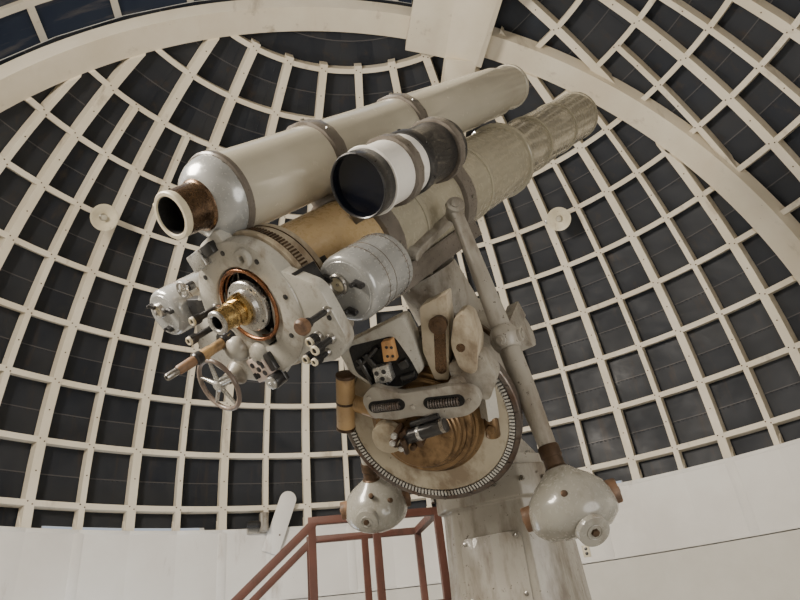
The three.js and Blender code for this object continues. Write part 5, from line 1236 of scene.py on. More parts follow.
def makeWorks(values):
    rest = values["rest"]
    (r1, z1), (r2, z2), (r3, z3) = values["steps"]
    drum = bmesh.new()
    addLathe(drum, polarFrame, [(0, rest), (0.214, rest), (0.214, rest - 0.007), (0.206, rest - 0.011),
        (0.198, rest - 0.024), (r1 + 0.004, rest - 0.028), (r1, rest - 0.034), (r1, z1 + 0.006),
        (r1 - 0.006, z1), (r2 + 0.014, z1), (r2 + 0.010, z1 - 0.007), (r2, z1 - 0.011), (r2, z2 + 0.005),
        (r2 - 0.005, z2), (r3 + 0.005, z2), (r3, z2 - 0.005), (r3, z3 + 0.004), (r3 - 0.004, z3), (0, z3)],
        96)
    for r, z in ((r1, rest - 0.045), (r2 + 0.002, z1 - 0.018), (0.213, rest - 0.003)):
        addTorus(drum, polarFrame, (0, 0, z), r, 0.0035, 96, 8)
    finishPiece(drum, "worksDrum", "polar", "bronzeDark", "casting", ("polar_works",))

    plate = bmesh.new()
    addPlate(plate, polarFrame, values["plate"], z3 - 0.035, z3 + 0.005, 0.006, 0.022)
    x, y = values["cap"]
    addPlate(plate, polarFrame, values["side"], z2 - 0.005, rest, 0.006, 0.028)
    addRod(plate, polarFrame, (*values["post"], z3 - 0.01), (*values["post"], rest - 0.02), 0.030, sides=28)
    for x0, y0 in ((0.205, -0.070), (0.115, 0.060), (0.060, 0.250), (0.150, 0.300)):
        addBolt(plate, polarFrame, (x0, y0, z3 - 0.035 if x0 != 0.150 else z2 - 0.005), (0, 0, -1), 0.009,
            0.007)
    finishPiece(plate, "worksPlate", "polar", "mountPaint", "casting", ("polar_works",))

    # the spring slots are thin near-black plates on the plate's face: painted shade standing for their depth
    slots, coils = bmesh.new(), bmesh.new()
    for a, b in values["springs"]:
        addSlot(slots, polarFrame, a, b, 0.044, z3 - 0.0365, z3 - 0.034)
        addCoil(coils, polarFrame, (*a, z3 - 0.044), (*b, z3 - 0.044), 0.011, 0.0028, 12)
        addRod(coils, polarFrame, (*a, z3 - 0.044), (*b, z3 - 0.044), 0.005, sides=12)
    finishPiece(slots, "springSlotShade", "polar", "blackBoreAndShade", "dark_casting")
    finishPiece(coils, "worksSprings", "polar", "railSteel", "rail_steel")

    turnedPiece("worksCap", ("polar", "wheelCream", "casting", ("polar_works",)), polarFrame,
        [(0, z3 - 0.030), (0.048, z3 - 0.030), (0.056, z3 - 0.027), (0.060, z3 - 0.018), (0.060, z3 + 0.010),
         (0, z3 + 0.010)], 48, (x, y))

    bracket = bmesh.new()
    addPlate(bracket, polarFrame, values["bracket"], z1 - 0.015, rest, 0.007, 0.018)
    finishPiece(bracket, "worksBracket", "polar", "whiteEnamel", "casting", ("polar_works",))
    # the bracket's opening is a thin near-black plate on its face: painted shade standing for its depth
    opening = bmesh.new()
    addPlate(opening, polarFrame, values["opening"], z1 - 0.0165, z1 - 0.013, 0.0, 0.020)
    finishPiece(opening, "bracketOpeningShade", "polar", "blackBoreAndShade", "dark_casting")
    inner = bmesh.new()
    for a, b, r in (((0.330, -0.070), (0.225, -0.070), 0.010), ((0.335, -0.040), (0.205, -0.010), 0.012),
            ((0.340, 0.020), (0.300, -0.090), 0.009), ((0.200, 0.040), (0.195, 0.095), 0.014)):
        addRod(inner, polarFrame, (*a, z1 - 0.022), (*b, z1 - 0.022), r, sides=18, width=0.002)
    addBox(inner, polarFrame, (0.232, 0.060, z1 - 0.040), (0.262, 0.094, z1 - 0.014), 0.004)
    finishPiece(inner, "bracketInner", "polar", "blackPaint", "dark_casting")
    orange = bmesh.new()
    addPlate(orange, polarFrame, values["orange"], z1 - 0.046, z1 - 0.014, 0.004, 0.005)
    finishPiece(orange, "terminalBlock", "polar", "orangeBlock", "dark_casting")
    dots = bmesh.new()
    for x, y in ((0.330, 0.062), (0.322, 0.078), (0.300, 0.048), (0.293, 0.066)):
        addRod(dots, polarFrame, (x, y, z1 - 0.0475), (x, y, z1 - 0.044), 0.0055, sides=16)
    for x, y in ((0.262, -0.022), (0.257, 0.006), (0.236, -0.012)):
        addRod(dots, polarFrame, (x, y, z1 - 0.0515), (x, y, z1 - 0.048), 0.0085, sides=18)
    finishPiece(dots, "terminalDots", "polar", "blackPaint", "dark_casting")
    silver = bmesh.new()
    addPlate(silver, polarFrame, values["silver"], z1 - 0.050, z1 - 0.014, 0.006, 0.008)
    finishPiece(silver, "relayBox", "polar", "silverGrey", "rail_steel")

    fork = bmesh.new()
    addPlate(fork, polarFrame, values["fork"], z1 - 0.015, rest, 0.008, 0.016)
    addPlate(fork, polarFrame, values["oval"], z2 - 0.020, rest, 0.009, 0.042)
    finishPiece(fork, "worksFork", "polar", "tanCast", "casting", ("polar_works",))
    # the fork's hollows are a thin dark bronze plate and disc on its faces: painted shade standing for their
    # depth
    hollow = bmesh.new()
    addSlot(hollow, polarFrame, (0.318, 0.262), (0.176, 0.186), 0.040, z1 - 0.0165, z1 - 0.013)
    addRod(hollow, polarFrame, (0.223, 0.300, z2 - 0.0215), (0.223, 0.300, z2 - 0.018), 0.015, sides=28)
    finishPiece(hollow, "forkHollowShade", "polar", "smokedBronze", "dark_casting")
    collar = bmesh.new()
    addRods(collar, polarFrame,
        ((0.322, 0.266, z1 - 0.050), (0.322, 0.266, z1 - 0.012), 0.028, 32, 0.004),
        ((0.322, 0.266, z1 - 0.053), (0.322, 0.266, z1 - 0.048), 0.017, 28, 0.002))
    addTorus(collar, polarFrame, (0.322, 0.266, z1 - 0.046), 0.028, 0.004, 32, 8)
    finishPiece(collar, "forkBearing", "polar", "brownIron", "dark_casting")

    # motors: the black one across the plate, the one beside the wheel and the tan drum low down
    motor = bmesh.new()
    addRods(motor, polarFrame,
        ((0.030, -0.012, z3 - 0.058), (0.021, 0.147, z3 - 0.058), 0.024, 32, 0.004),
        ((0.060, 0.020, z3 - 0.040), (0.052, 0.130, z3 - 0.040), 0.012, 20, 0.003))
    finishPiece(motor, "plateMotor", "polar", "blackPaint", "dark_casting", ("polar_works",))
    cluster = bmesh.new()
    for a, b, r in (((0.045, -0.045, z3 - 0.03), (0.045, -0.045, z3 - 0.095), 0.014),
            ((0.070, -0.020, z3 - 0.03), (0.070, -0.020, z3 - 0.105), 0.009),
            ((0.012, -0.032, z3 - 0.03), (0.012, -0.032, z3 - 0.085), 0.016),
            ((0.020, -0.060, z3 - 0.070), (0.075, -0.020, z3 - 0.080), 0.008),
            ((0.040, -0.010, z3 - 0.090), (-0.015, -0.030, z3 - 0.075), 0.010),
            ((-0.010, -0.005, z3 - 0.010), (-0.010, -0.005, z3 - 0.070), 0.011)):
        addRod(cluster, polarFrame, a, b, r, sides=20, width=0.002)
    addBoxes(cluster, polarFrame,
        ((0.018, -0.030, z3 - 0.075), (0.060, 0.004, z3 - 0.030), 0.004),
        ((-0.020, 0.010, z3 - 0.060), (0.020, 0.030, z3 - 0.002), 0.003))
    finishPiece(cluster, "plateValves", "polar", "brownIron", "dark_casting")
    nuts = bmesh.new()
    for x, y, z in ((0.045, -0.045, z3 - 0.095), (0.070, -0.020, z3 - 0.105), (0.012, -0.032, z3 - 0.085)):
        addRod(nuts, polarFrame, (x, y, z - 0.010), (x, y, z + 0.004), 0.011, sides=6, width=0.001)
    addRods(nuts, polarFrame,
        ((0.027, 0.036, z3 - 0.058), (0.026, 0.050, z3 - 0.058), 0.0255, 32, 0.002),
        ((0.024, 0.128, z3 - 0.058), (0.023, 0.142, z3 - 0.058), 0.0255, 32, 0.002))
    finishPiece(nuts, "plateNuts", "polar", "silverGrey", "rail_steel")
    side = bmesh.new()
    addRod(side, polarFrame, (0.045, 0.285, z1 + 0.004), (-0.060, 0.245, z1 + 0.004), 0.032, sides=4,
        width=0.005)
    finishPiece(side, "sideMotor", "polar", "whiteEnamel", "casting", ("polar_works",))
    end = bmesh.new()
    addRods(end, polarFrame,
        ((-0.055, 0.248, z1 + 0.006), (-0.128, 0.220, z1 + 0.006), 0.026, 32, 0.004),
        ((-0.090, 0.234, z1 - 0.028), (-0.090, 0.234, z1 - 0.010), 0.017, 24, 0.003))
    finishPiece(end, "sideMotorEnd", "polar", "bronzeDark", "dark_casting", ("polar_works",))
    low = bmesh.new()
    addRods(low, polarFrame,
        ((0.290, -0.168, z1), (0.112, -0.281, z1), 0.035, 40, 0.006),
        ((0.110, -0.130, z1 + 0.015), (0.200, -0.225, z1 + 0.015), 0.030, 28, 0))
    finishPiece(low, "lowDrum", "polar", "goldTan", "casting", ("polar_works",))
    ends = bmesh.new()
    addRods(ends, polarFrame,
        ((0.297, -0.163, z1), (0.286, -0.170, z1), 0.0365, 40, 0.003),
        ((0.116, -0.279, z1), (0.105, -0.286, z1), 0.0365, 40, 0.003),
        ((0.205, -0.222, z1), (0.197, -0.227, z1), 0.0362, 40, 0.001))
    finishPiece(ends, "lowDrumEnds", "polar", "brownIron", "dark_casting", ("polar_works",))


makeWorks(worksValues)

leverValues = {
    "Near": ((0.600, 0.310, -0.140), (-0.404, 0.378, -0.892)),
    "Far": ((0.400, -0.330, -0.330), (-0.400, -0.620, -0.430)),
    "radius": 0.152, "bossRight": {"Near": 0.36, "Far": -0.20},
}


def makeLever(name, values):
    w = values["radius"]
    top, weight = (Vector(end) for end in values[name])
    length = (weight - top).length
    boss = length / 2
    along = (weight - top).normalized()
    place = polarFrame @ aimed(top, along)
    turnedPiece(f"lever{name}", ("polar", "mountPaint", "casting", (f"lever_{name.lower()}",)), place,
        [(0, -0.040), (0.028, -0.040), (0.033, -0.034), (0.033, 0.030), (0.029, 0.044), (0.034, boss * 0.5),
         (0.039, boss - 0.050), (0.036, boss - 0.044), (0.036, boss + 0.044), (0.041, boss + 0.052),
         (0.040, boss * 1.3), (0.032, length - 0.23), (0.030, length - 0.18), (0, length - 0.18)], 36)
    rows = [(0, length - 0.128), (0.036, length - 0.128), (0.042, length - 0.122), (0.062, length - 0.104),
        (0.096, length - 0.078), (0.126, length - 0.046), (0.142, length - 0.012),
        (w - 0.006, length + 0.016), (w - 0.007, length + 0.040), (0.136, length + 0.060),
        (0.112, length + 0.082), (0.100, length + 0.090), (0.058, length + 0.094), (0.054, length + 0.0985),
        (0.030, length + 0.0985), (0.028, length + 0.090), (0, length + 0.090)]
    turnedPiece(f"weight{name}", ("polar", "weightGrey", "tube_enamel", (f"lever_{name.lower()}",)), place,
        rows, 64)
    turnedPiece(f"leverCollar{name}", ("polar", "brownIron", "dark_casting", (f"lever_{name.lower()}",)),
        place, [(0, length - 0.205), (0.034, length - 0.205), (0.037, length - 0.200),
        (0.037, length - 0.165), (0.033, length - 0.160), (0.034, length - 0.132), (0.041, length - 0.124),
        (0, length - 0.124)], 40)

    # directions as seen by the observer on the stair: ahead, to the right and up
    eye = polarFrame.inverted() @ Vector(cameraValues["place"])
    ahead = (eye - weight).normalized()
    right = (polarFrame.to_3x3().inverted() @ Vector(cameraValues["right"])).normalized()
    over = (polarFrame.to_3x3().inverted() @ Vector(cameraValues["up"])).normalized()

    # two brown plugs on the weight's sides, square to the lever
    across = along.cross(-ahead).normalized()
    plugs, bosses, pits = bmesh.new(), bmesh.new(), bmesh.new()
    for side in (-1, 1):
        a = weight + across * side * (w - 0.045)
        addRod(plugs, polarFrame, a, weight + across * side * (w + 0.010), 0.042, 0.039, 28, 0.004)
        addRod(plugs, polarFrame, a, weight + across * side * (w + 0.014), 0.011, sides=14, width=0.002)
    finishPiece(plugs, f"weightPlugs{name}", "polar", "rustWood", "dark_casting")

    # a round boss below with its bolt, and two small pits drawn as dark brown discs: painted shade of their
    # depth
    way = (ahead * 0.80 + right * values["bossRight"][name] - over * 0.40).normalized()
    addRod(bosses, polarFrame, weight + way * 0.09, weight + way * (w + 0.006), 0.054, 0.051, 40, 0.004)
    addTorus(bosses, polarFrame @ aimed(weight + way * (w + 0.006), way), (0, 0, 0), 0.024, 0.003, 32, 8)
    finishPiece(bosses, f"weightBoss{name}", "polar", "weightGrey", "tube_enamel")
    addBolt(pits, polarFrame, weight + way * (w + 0.006), way, 0.014, 0.008)
    for reach, turn in ((0.55, -0.25), (0.10, 0.85)):
        spot = (ahead * 0.85 + right * turn * 0.6 + over * (0.1 + 0.3 * reach)).normalized()
        addRod(pits, polarFrame, weight + spot * (w - 0.030), weight + spot * (w - 0.010), 0.011, sides=20,
            width=0.001)
    finishPiece(pits, f"weightBoltAndPitShade{name}", "polar", "brownIron", "dark_casting")

    # caps on the ball joint and the pivot at the lever's top
    ear = (top + weight) / 2
    caps = bmesh.new()
    for way, big in (((ahead * 0.45 + right * 0.88 + over * 0.10).normalized(), 0.025),
            ((ahead * 0.92 - right * 0.22 - over * 0.30).normalized(), 0.022)):
        addRod(caps, polarFrame, ear + way * 0.040, ear + way * 0.066, big, big * 0.96, 28, 0.002)
        addBolt(caps, polarFrame, ear + way * 0.066, way, big * 0.68, 0.006)
    side = along.cross(right).normalized()
    addRods(caps, polarFrame,
        (top - side * 0.042, top + side * 0.042, 0.038, 36, 0.003),
        (top - side * 0.050, top + side * 0.050, 0.020, 28, 0.002))
    finishPiece(caps, f"leverCaps{name}", "polar", "mountPaint", "casting")


makeLever("Near", leverValues)
makeLever("Far", leverValues)


def makeHead():
    dressed("polar_head", "polar", "mountPaint", "casting", 0.007)
    trim = bmesh.new()
    addLathe(trim, polarFrame, [(0.10, -0.289), (0.238, -0.289), (0.242, -0.283), (0.242, -0.262),
        (0.236, -0.256), (0.10, -0.256)], 64, closed=True)
    boltRing(trim, polarFrame, (0, 0, -0.256), 0.231, 18, (0, 0, 1), 0.008, 0.007)
    finishPiece(trim, "headFlange", "polar", "brownIron", "dark_casting")


makeHead()
print("polar head made")

# Tubes

tubeValues = {"main": 0.210, "start": -0.9045, "rearFrom": -0.765, "rearTo": -0.34, "dew": 0.180,
    "end": 2.615}


def makeMainTube(values):
    m, d = values["main"], values["dew"]
    turnedPiece("mainTube", ("tubes", "tubePaint", "tube_enamel", ("main_tube",)), tubeFrame,
        [(m - 0.008, values["start"]), (m, values["start"]), (m, 1.125), (m + 0.014, 1.127),
         (m + 0.018, 1.131), (m + 0.018, 1.160), (m + 0.014, 1.165), (d + 0.010, 1.172), (d + 0.004, 1.180),
         (d, 1.190), (d, 2.560), (d, 2.612), (d - 0.004, 2.615), (d - 0.008, 2.612), (d - 0.008, 1.155),
         (m - 0.008, 1.143)], 72, closed=True)
    turnedPiece("tubeRear", ("tubes", "tubeGold", "tube_enamel"), tubeFrame,
        [(m - 0.002, values["rearFrom"]), (m + 0.0012, values["rearFrom"] + 0.001),
         (m + 0.0012, values["rearTo"]), (m - 0.002, values["rearTo"] + 0.001)], 96, closed=True)
    rings = bmesh.new()
    for z, r in ((-0.05, m), (0.62, m), (1.60, d), (2.10, d), (2.585, d)):
        addLathe(rings, tubeFrame, [(r - 0.004, z - 0.018), (r + 0.004, z - 0.018), (r + 0.0055, z - 0.015),
            (r + 0.0055, z + 0.015), (r + 0.004, z + 0.018), (r - 0.004, z + 0.018)], 72, closed=True)
    for k in range(3):
        a = radians(30 + 120 * k)
        for z in (0.02, 0.55, 1.145):
            addBolt(rings, tubeFrame, around((0, 0), m, a, z), around((0, 0), 1, a, 0), 0.008,
                0.007 if z < 1 else 0.023)
    finishPiece(rings, "tubeBands", "tubes", "tubePaint", "tube_enamel")
    # the objective cell is a near-black disc across the tube: painted shade of the tube's inside behind the
    # lens
    turnedPiece("objectiveCell", ("tubes", "blackBoreAndShade", "dark_casting"), tubeFrame,
        [(0, 1.20), (d - 0.010, 1.20), (d - 0.010, 1.23), (0.150, 1.24), (0.148, 1.235), (0, 1.232)], 48)


makeMainTube(tubeValues)

guideValues = {"at": (0.385, 0.040), "radius": 0.150, "tail": -0.838, "front": 1.692}


def makeGuideTube(values):
    g, z0, z1 = values["radius"], values["tail"], values["front"]
    turnedPiece("guideTube", ("tubes", "guidePaint", "tube_enamel", ("guide_tube",)), tubeFrame,
        [(g, z0 + 0.004), (g, z1 - 0.262), (g - 0.004, z1 - 0.256), (g - 0.012, z1 - 0.25),
         (g - 0.012, z1 - 0.03), (g - 0.007, z1 - 0.027), (g - 0.007, z1 - 0.003), (g - 0.010, z1),
         (g - 0.020, z1), (g - 0.020, z0 + 0.02), (g - 0.030, z0 + 0.004)], 64, values["at"], True)
    turnedPiece("guideShoulder", ("tubes", "drumSilver", "casting", ("guide_tube",)), tubeFrame,
        [(g + 0.004, z0 - 0.030), (g + 0.002, z0 - 0.038), (g - 0.006, z0 - 0.062), (g - 0.022, z0 - 0.085),
         (g - 0.045, z0 - 0.100), (0.092, z0 - 0.108), (0.070, z0 - 0.108),
         (0.070, z0 - 0.030)], 72, values["at"], True)
    turnedPiece("guideFlange", ("tubes", "saddleDark", "casting", ("guide_tube",)), tubeFrame,
        [(g - 0.02, z0 - 0.001), (g + 0.006, z0 - 0.001), (g + 0.013, z0 - 0.006), (g + 0.013, z0 - 0.024),
         (g + 0.007, z0 - 0.030), (g - 0.02, z0 - 0.030)], 72, values["at"], True)
    screws = bmesh.new()
    boltRing(screws, tubeFrame, (*values["at"], z0 - 0.029), g + 0.001, 12, (0, 0, -1), 0.006, 0.004)
    addRod(screws, tubeFrame, (values["at"][0] + 0.09, values["at"][1] - 0.155, z0 - 0.03),
        (values["at"][0] + 0.09, values["at"][1] - 0.155, z0 - 0.055), 0.008, sides=16, width=0.002)
    finishPiece(screws, "guideScrews", "tubes", "turnedSteel", "rail_steel")
    turnedPiece("guideBarrel", ("tubes", "smokedBronze", "wheel_metal", ("guide_tube",)), tubeFrame,
        [(0.064, z0 - 0.09), (0.094, z0 - 0.102), (0.090, z0 - 0.112), (0.084, z0 - 0.118),
         (0.081, z0 - 0.150), (0.080, z0 - 0.205), (0.064, z0 - 0.205)], 72, values["at"], True)
    rim = bmesh.new()
    addLathe(rim, tubeFrame, [(0.064, z0 - 0.200), (0.080, z0 - 0.203), (0.082, z0 - 0.208),
        (0.082, z0 - 0.222), (0.078, z0 - 0.227), (0.067, z0 - 0.227), (0.064, z0 - 0.222)], 64, values["at"],
        True)
    addRod(rim, tubeFrame, (values["at"][0] + 0.06, values["at"][1] - 0.055, z0 - 0.214),
        (values["at"][0] + 0.068, values["at"][1] - 0.062, z0 - 0.214), 0.006, sides=14, width=0.001)
    finishPiece(rim, "guideRim", "tubes", "ivory", "white_enamel")
    # near-black lining closed at its bottom: the black inside of the barrel, and painted shade of the depth
    # beyond
    turnedPiece("guideBore", ("tubes", "blackBoreAndShade", "dark_casting"), tubeFrame,
        [(0, z0 - 0.150), (0.0625, z0 - 0.150), (0.0625, z0 - 0.222), (0.0638, z0 - 0.222),
         (0.0638, z0 - 0.145), (0, z0 - 0.145)], 48, values["at"])
    # near-black disc across the guide tube's front: painted shade of the tube's inside behind the lens
    turnedPiece("guideCell", ("tubes", "blackBoreAndShade", "dark_casting"), tubeFrame,
        [(0, z1 - 0.05), (g - 0.022, z1 - 0.05), (g - 0.022, z1 - 0.002), (g - 0.0205, z1 - 0.002),
         (g - 0.0205, z1 - 0.055), (0, z1 - 0.055)], 48, values["at"])


makeGuideTube(guideValues)

finderValues = {"at": (0.171, 0.440), "radius": 0.115, "rear": -0.652, "front": -0.052}


def makeFinder(values):
    f, z0, z1 = values["radius"], values["rear"], values["front"]
    at = values["at"]
    white = bmesh.new()
    addLathe(white, tubeFrame, [(f - 0.008, z0 + 0.085), (f, z0 + 0.085), (f, z1 - 0.30),
        (f - 0.008, z1 - 0.30)], 56, at, True)
    addLathe(white, tubeFrame, [(f - 0.006, z0 + 0.064), (f + 0.006, z0 + 0.064), (f + 0.009, z0 + 0.070),
        (f + 0.006, z0 + 0.078), (f - 0.006, z0 + 0.078)], 56, at, True)
    finishPiece(white, "finderBarrel", "tubes", "skirtPaint", "white_enamel", ("finder_tube",))
    black = bmesh.new()
    addLathe(black, tubeFrame, [(f - 0.008, z0 + 0.004), (f - 0.004, z0), (f, z0 + 0.004),
        (f + 0.002, z0 + 0.030), (f, z0 + 0.034), (f, z0 + 0.070), (f - 0.008, z0 + 0.070)], 56, at, True)
    addLathe(black, tubeFrame, [(f - 0.010, z1 - 0.305), (f + 0.006, z1 - 0.305), (f + 0.009, z1 - 0.298),
        (f + 0.009, z1 - 0.262), (f + 0.004, z1 - 0.256), (f + 0.001, z1 - 0.250), (f + 0.001, z1 - 0.004),
        (f - 0.002, z1), (f - 0.008, z1), (f - 0.010, z1 - 0.004)], 56, at, True)
    for k in range(6):
        a = radians(60 * k + 20)
        addBolt(black, tubeFrame, around(at, f + 0.009, a, z1 - 0.280), around((0, 0), 1, a, 0), 0.007, 0.004)
    finishPiece(black, "finderHood", "tubes", "blackPaint", "dark_casting", ("finder_tube",))
    cell = bmesh.new()
    addLathe(cell, tubeFrame, [(0, z0 + 0.035), (f - 0.009, z0 + 0.030), (f - 0.009, z0 + 0.15),
        (f - 0.0075, z0 + 0.15), (f - 0.0075, z0 + 0.010), (f - 0.009, z0 + 0.010), (f - 0.009, z0 + 0.025),
        (0, z0 + 0.030)], 48, at)
    addLathe(cell, tubeFrame, [(0, z1 - 0.12), (f - 0.009, z1 - 0.12), (f - 0.009, z1 - 0.10),
        (f - 0.02, z1 - 0.10), (f - 0.024, z1 - 0.112), (0, z1 - 0.113)], 48, at)
    finishPiece(cell, "finderCell", "tubes", "lensDark", "dark_casting")


makeFinder(finderValues)
print("tubes made")

breechValues = {
    "face": -0.965, "plate": 0.250, "rest": -0.905, "lobeLow": -0.9588, "lobeHigh": -0.9112,
    "nearLobe": (
        (0.100, 0.190), (-0.042, 0.359), (-0.243, 0.349), (-0.289, 0.261), (-0.266, 0.096), (-0.160, 0.020)),
    "lowLobe": (
        (0.170, -0.140), (0.121, -0.261), (-0.030, -0.430), (-0.130, -0.400), (-0.215, -0.305),
        (-0.285, -0.105), (-0.240, 0.020), (-0.060, -0.060)),
    "guideLobe": ((0.215, -0.070), (0.275, -0.060), (0.285, 0.060), (0.215, 0.075)),
    "centre": (0.009, 0.006),
}


def makeBreech(values):
    face, r, rest = values["face"], values["plate"], values["rest"]
    low, high = values["lobeLow"], values["lobeHigh"]
    plate = bmesh.new()
    addLathe(plate, tubeFrame, [(0.150, rest), (r - 0.004, rest), (r, rest - 0.004), (r, face + 0.010),
        (r - 0.004, face + 0.002), (r - 0.012, face), (0.162, face), (0.154, face + 0.004),
        (0.150, face + 0.012)], 96, closed=True)
    addPlate(plate, tubeFrame, values["nearLobe"], low, high, 0.005, 0.03)
    addPlate(plate, tubeFrame, values["lowLobe"], low, high, 0.005, 0.04)
    addPlate(plate, tubeFrame, values["guideLobe"], face + 0.004, high, 0.005, 0.012)
    finishPiece(plate, "breechPlate", "tubes", "whiteEnamel", "white_enamel", ("breech",))

    # brown rings behind the plate, the front one knurled
    turnedPiece("breechRings", ("tubes", "tanCast", "dark_casting", ("breech",)), tubeFrame,
        [(r - 0.036, rest + 0.001), (0.258, rest + 0.001), (0.262, rest + 0.005), (0.262, rest + 0.020),
         (0.256, rest + 0.024), (0.256, rest + 0.060), (0.250, rest + 0.068), (0.250, rest + 0.120),
         (0.236, rest + 0.130), (0.212, rest + 0.134), (0.212, rest + 0.001)], 96, closed=True)
    knurl = bmesh.new()
    for k in range(120):
        addBox(knurl, tubeFrame @ aboutZ(3 * k), (0.2565, -0.0032, rest + 0.027),
            (0.2600, 0.0032, rest + 0.056))
    addTorus(knurl, tubeFrame, (0, 0, rest + 0.022), 0.259, 0.003, 96, 8)
    addTorus(knurl, tubeFrame, (0, 0, rest + 0.094), 0.2505, 0.0025, 96, 8)
    finishPiece(knurl, "breechKnurl", "tubes", "brownIron", "dark_casting")

    # near-black cup in the recess: the black inside of the tube, and painted shade of the depth beyond its
    # closed bottom
    turnedPiece("breechRecess", ("tubes", "blackBoreAndShade", "dark_casting", ("breech",)), tubeFrame,
        [(0, rest + 0.020), (0.152, rest + 0.020), (0.152, face + 0.014), (0.1485, face + 0.010),
         (0.1465, face + 0.020), (0.1465, rest + 0.006), (0.128, rest - 0.004), (0, rest - 0.004)], 72)
    inner = bmesh.new()
    for k in range(9):
        a = radians(40 * k + 12)
        at = around((0, 0), 0.122, a, 0)[:2]
        addRod(inner, tubeFrame, (*at, rest), (*at, rest - 0.018 - 0.004 * (k % 3)), 0.007 + 0.002 * (k % 2),
            sides=16, width=0.001)
        addBar(inner, tubeFrame, around((0, 0), 0.104, a + 0.2, rest - 0.008),
            around((0, 0), 0.132, a + 0.45, rest - 0.012), 0.012, 0.010, 0.001)
    addTorus(inner, tubeFrame, (0, 0, rest - 0.004), 0.136, 0.004, 72, 8)
    finishPiece(inner, "recessWorks", "tubes", "turnedSteel", "rail_steel")

    copper = bmesh.new()
    addTorus(copper, tubeFrame, (*values["centre"], face + 0.004), 0.131, 0.0075, 72, 12)
    addTorus(copper, tubeFrame, (*values["centre"], face + 0.024), 0.126, 0.005, 72, 10)
    finishPiece(copper, "focusRing", "tubes", "copperRing", "wheel_metal")

    turnedPiece("focusDisc", ("tubes", "silverGrey", "rail_steel", ("breech",)), tubeFrame,
        [(0, -0.90), (0.062, -0.90), (0.062, -0.945), (0.090, -0.950), (0.094, -0.954), (0.094, -0.968),
         (0.090, -0.972), (0.066, -0.974), (0.062, -0.990), (0, -0.990)], 64, values["centre"])
    # four holes in the focus disc, drawn as near-black discs on its face: painted shade
    holes = bmesh.new()
    for angle in (60, 150, 240, 330):
        a = radians(angle)
        addRod(holes, tubeFrame, around(values["centre"], 0.078, a, -0.973),
            around(values["centre"], 0.078, a, -0.970), 0.007, sides=20)
    finishPiece(holes, "discHoleShade", "tubes", "blackBoreAndShade", "dark_casting")

    brass = bmesh.new()
    at = (0.011, -0.004)
    addLathe(brass, tubeFrame, [(0.026, -0.985), (0.058, -0.985), (0.058, -1.000), (0.052, -1.004),
        (0.044, -1.006), (0.044, -1.030), (0.047, -1.033), (0.047, -1.040), (0.042, -1.044), (0.040, -1.082),
        (0.043, -1.086), (0.043, -1.094), (0.026, -1.094)], 56, at, True)
    for k in range(5):
        addTorus(brass, tubeFrame, (*at, -1.012 - 0.004 * k), 0.0445, 0.0016, 56, 6)
    addRod(brass, tubeFrame, (0.060, 0.030, -1.018), (0.060, 0.030, -0.985), 0.008, sides=16, width=0.001)
    finishPiece(brass, "drawTube", "tubes", "agedBrass", "wheel_metal", ("breech",))
    turnedPiece("drawRim", ("tubes", "silverGrey", "white_enamel"), tubeFrame,
        [(0.025, -1.092), (0.043, -1.093), (0.0435, -1.100), (0.040, -1.104), (0.029, -1.104),
         (0.025, -1.100)], 56, at, True)
    # near-black lining closed at its bottom: the draw tube's black inside, and painted shade of the depth
    # beyond
    turnedPiece("drawBore", ("tubes", "blackBoreAndShade", "dark_casting"), tubeFrame,
        [(0, -1.040), (0.0235, -1.040), (0.0235, -1.098), (0.0255, -1.098), (0.0255, -1.036),
         (0, -1.036)], 32, at)

    bolts = bmesh.new()
    for x, y in ((0.119, 0.173), (0.172, -0.120), (-0.026, 0.205), (-0.149, 0.128), (0.205, 0.040),
            (0.060, -0.200), (-0.205, -0.030), (0.010, -0.330), (-0.235, 0.140), (-0.150, 0.330)):
        z = face if hypot(x, y) < 0.24 else low
        addRod(bolts, tubeFrame, (x, y, z - 0.003), (x, y, z + 0.002), 0.0095, sides=20, width=0.001)
    finishPiece(bolts, "breechBolts", "tubes", "blackPaint", "rail_steel")

    boss = bmesh.new()
    addLathe(boss, tubeFrame, [(0.012, face + 0.004), (0.036, face + 0.004), (0.036, face - 0.012),
        (0.031, face - 0.017), (0.017, face - 0.017), (0.012, face - 0.012)], 36, (0.152, 0.128), True)
    # domed cover beside the handwheel and a low one beside the recess
    addLathe(boss, tubeFrame, [(0, low - 0.052), (0.022, low - 0.049), (0.040, low - 0.038),
        (0.050, low - 0.018), (0.052, low + 0.002), (0, low + 0.002)], 48, (-0.105, -0.180))
    addLathe(boss, tubeFrame, [(0, face - 0.030), (0.024, face - 0.027), (0.038, face - 0.016),
        (0.044, face + 0.004), (0, face + 0.004)], 40, (-0.160, -0.080))
    finishPiece(boss, "breechBoss", "tubes", "whiteEnamel", "white_enamel")

    # arms to the two drums, and the box under the guide tube
    arms = bmesh.new()
    addBoxes(arms, tubeFrame,
        ((-0.030, 0.2145, -0.9548), (0.030, 0.2400, -0.7452), 0.003),
        ((-0.050, 0.2145, -0.9548), (0.030, 0.2888, -0.8500), 0.004))
    addBar(arms, tubeFrame, (0.070, -0.215, -0.935), (0.108, -0.332, -0.935), 0.080, 0.048, 0.004)
    addBox(arms, tubeFrame, (0.222, -0.030, face - 0.022), (0.262, 0.030, face + 0.010), 0.003)
    finishPiece(arms, "breechArms", "tubes", "blackPaint", "casting", ("breech",))
    box = bmesh.new()
    addBox(box, tubeFrame, (0.200, -0.120, face - 0.030), (0.262, -0.035, face + 0.006), 0.005)
    finishPiece(box, "breechBox", "tubes", "silverGrey", "casting")


makeBreech(breechValues)

# Knobs and eyepieces on the breech: place, from, to, radius

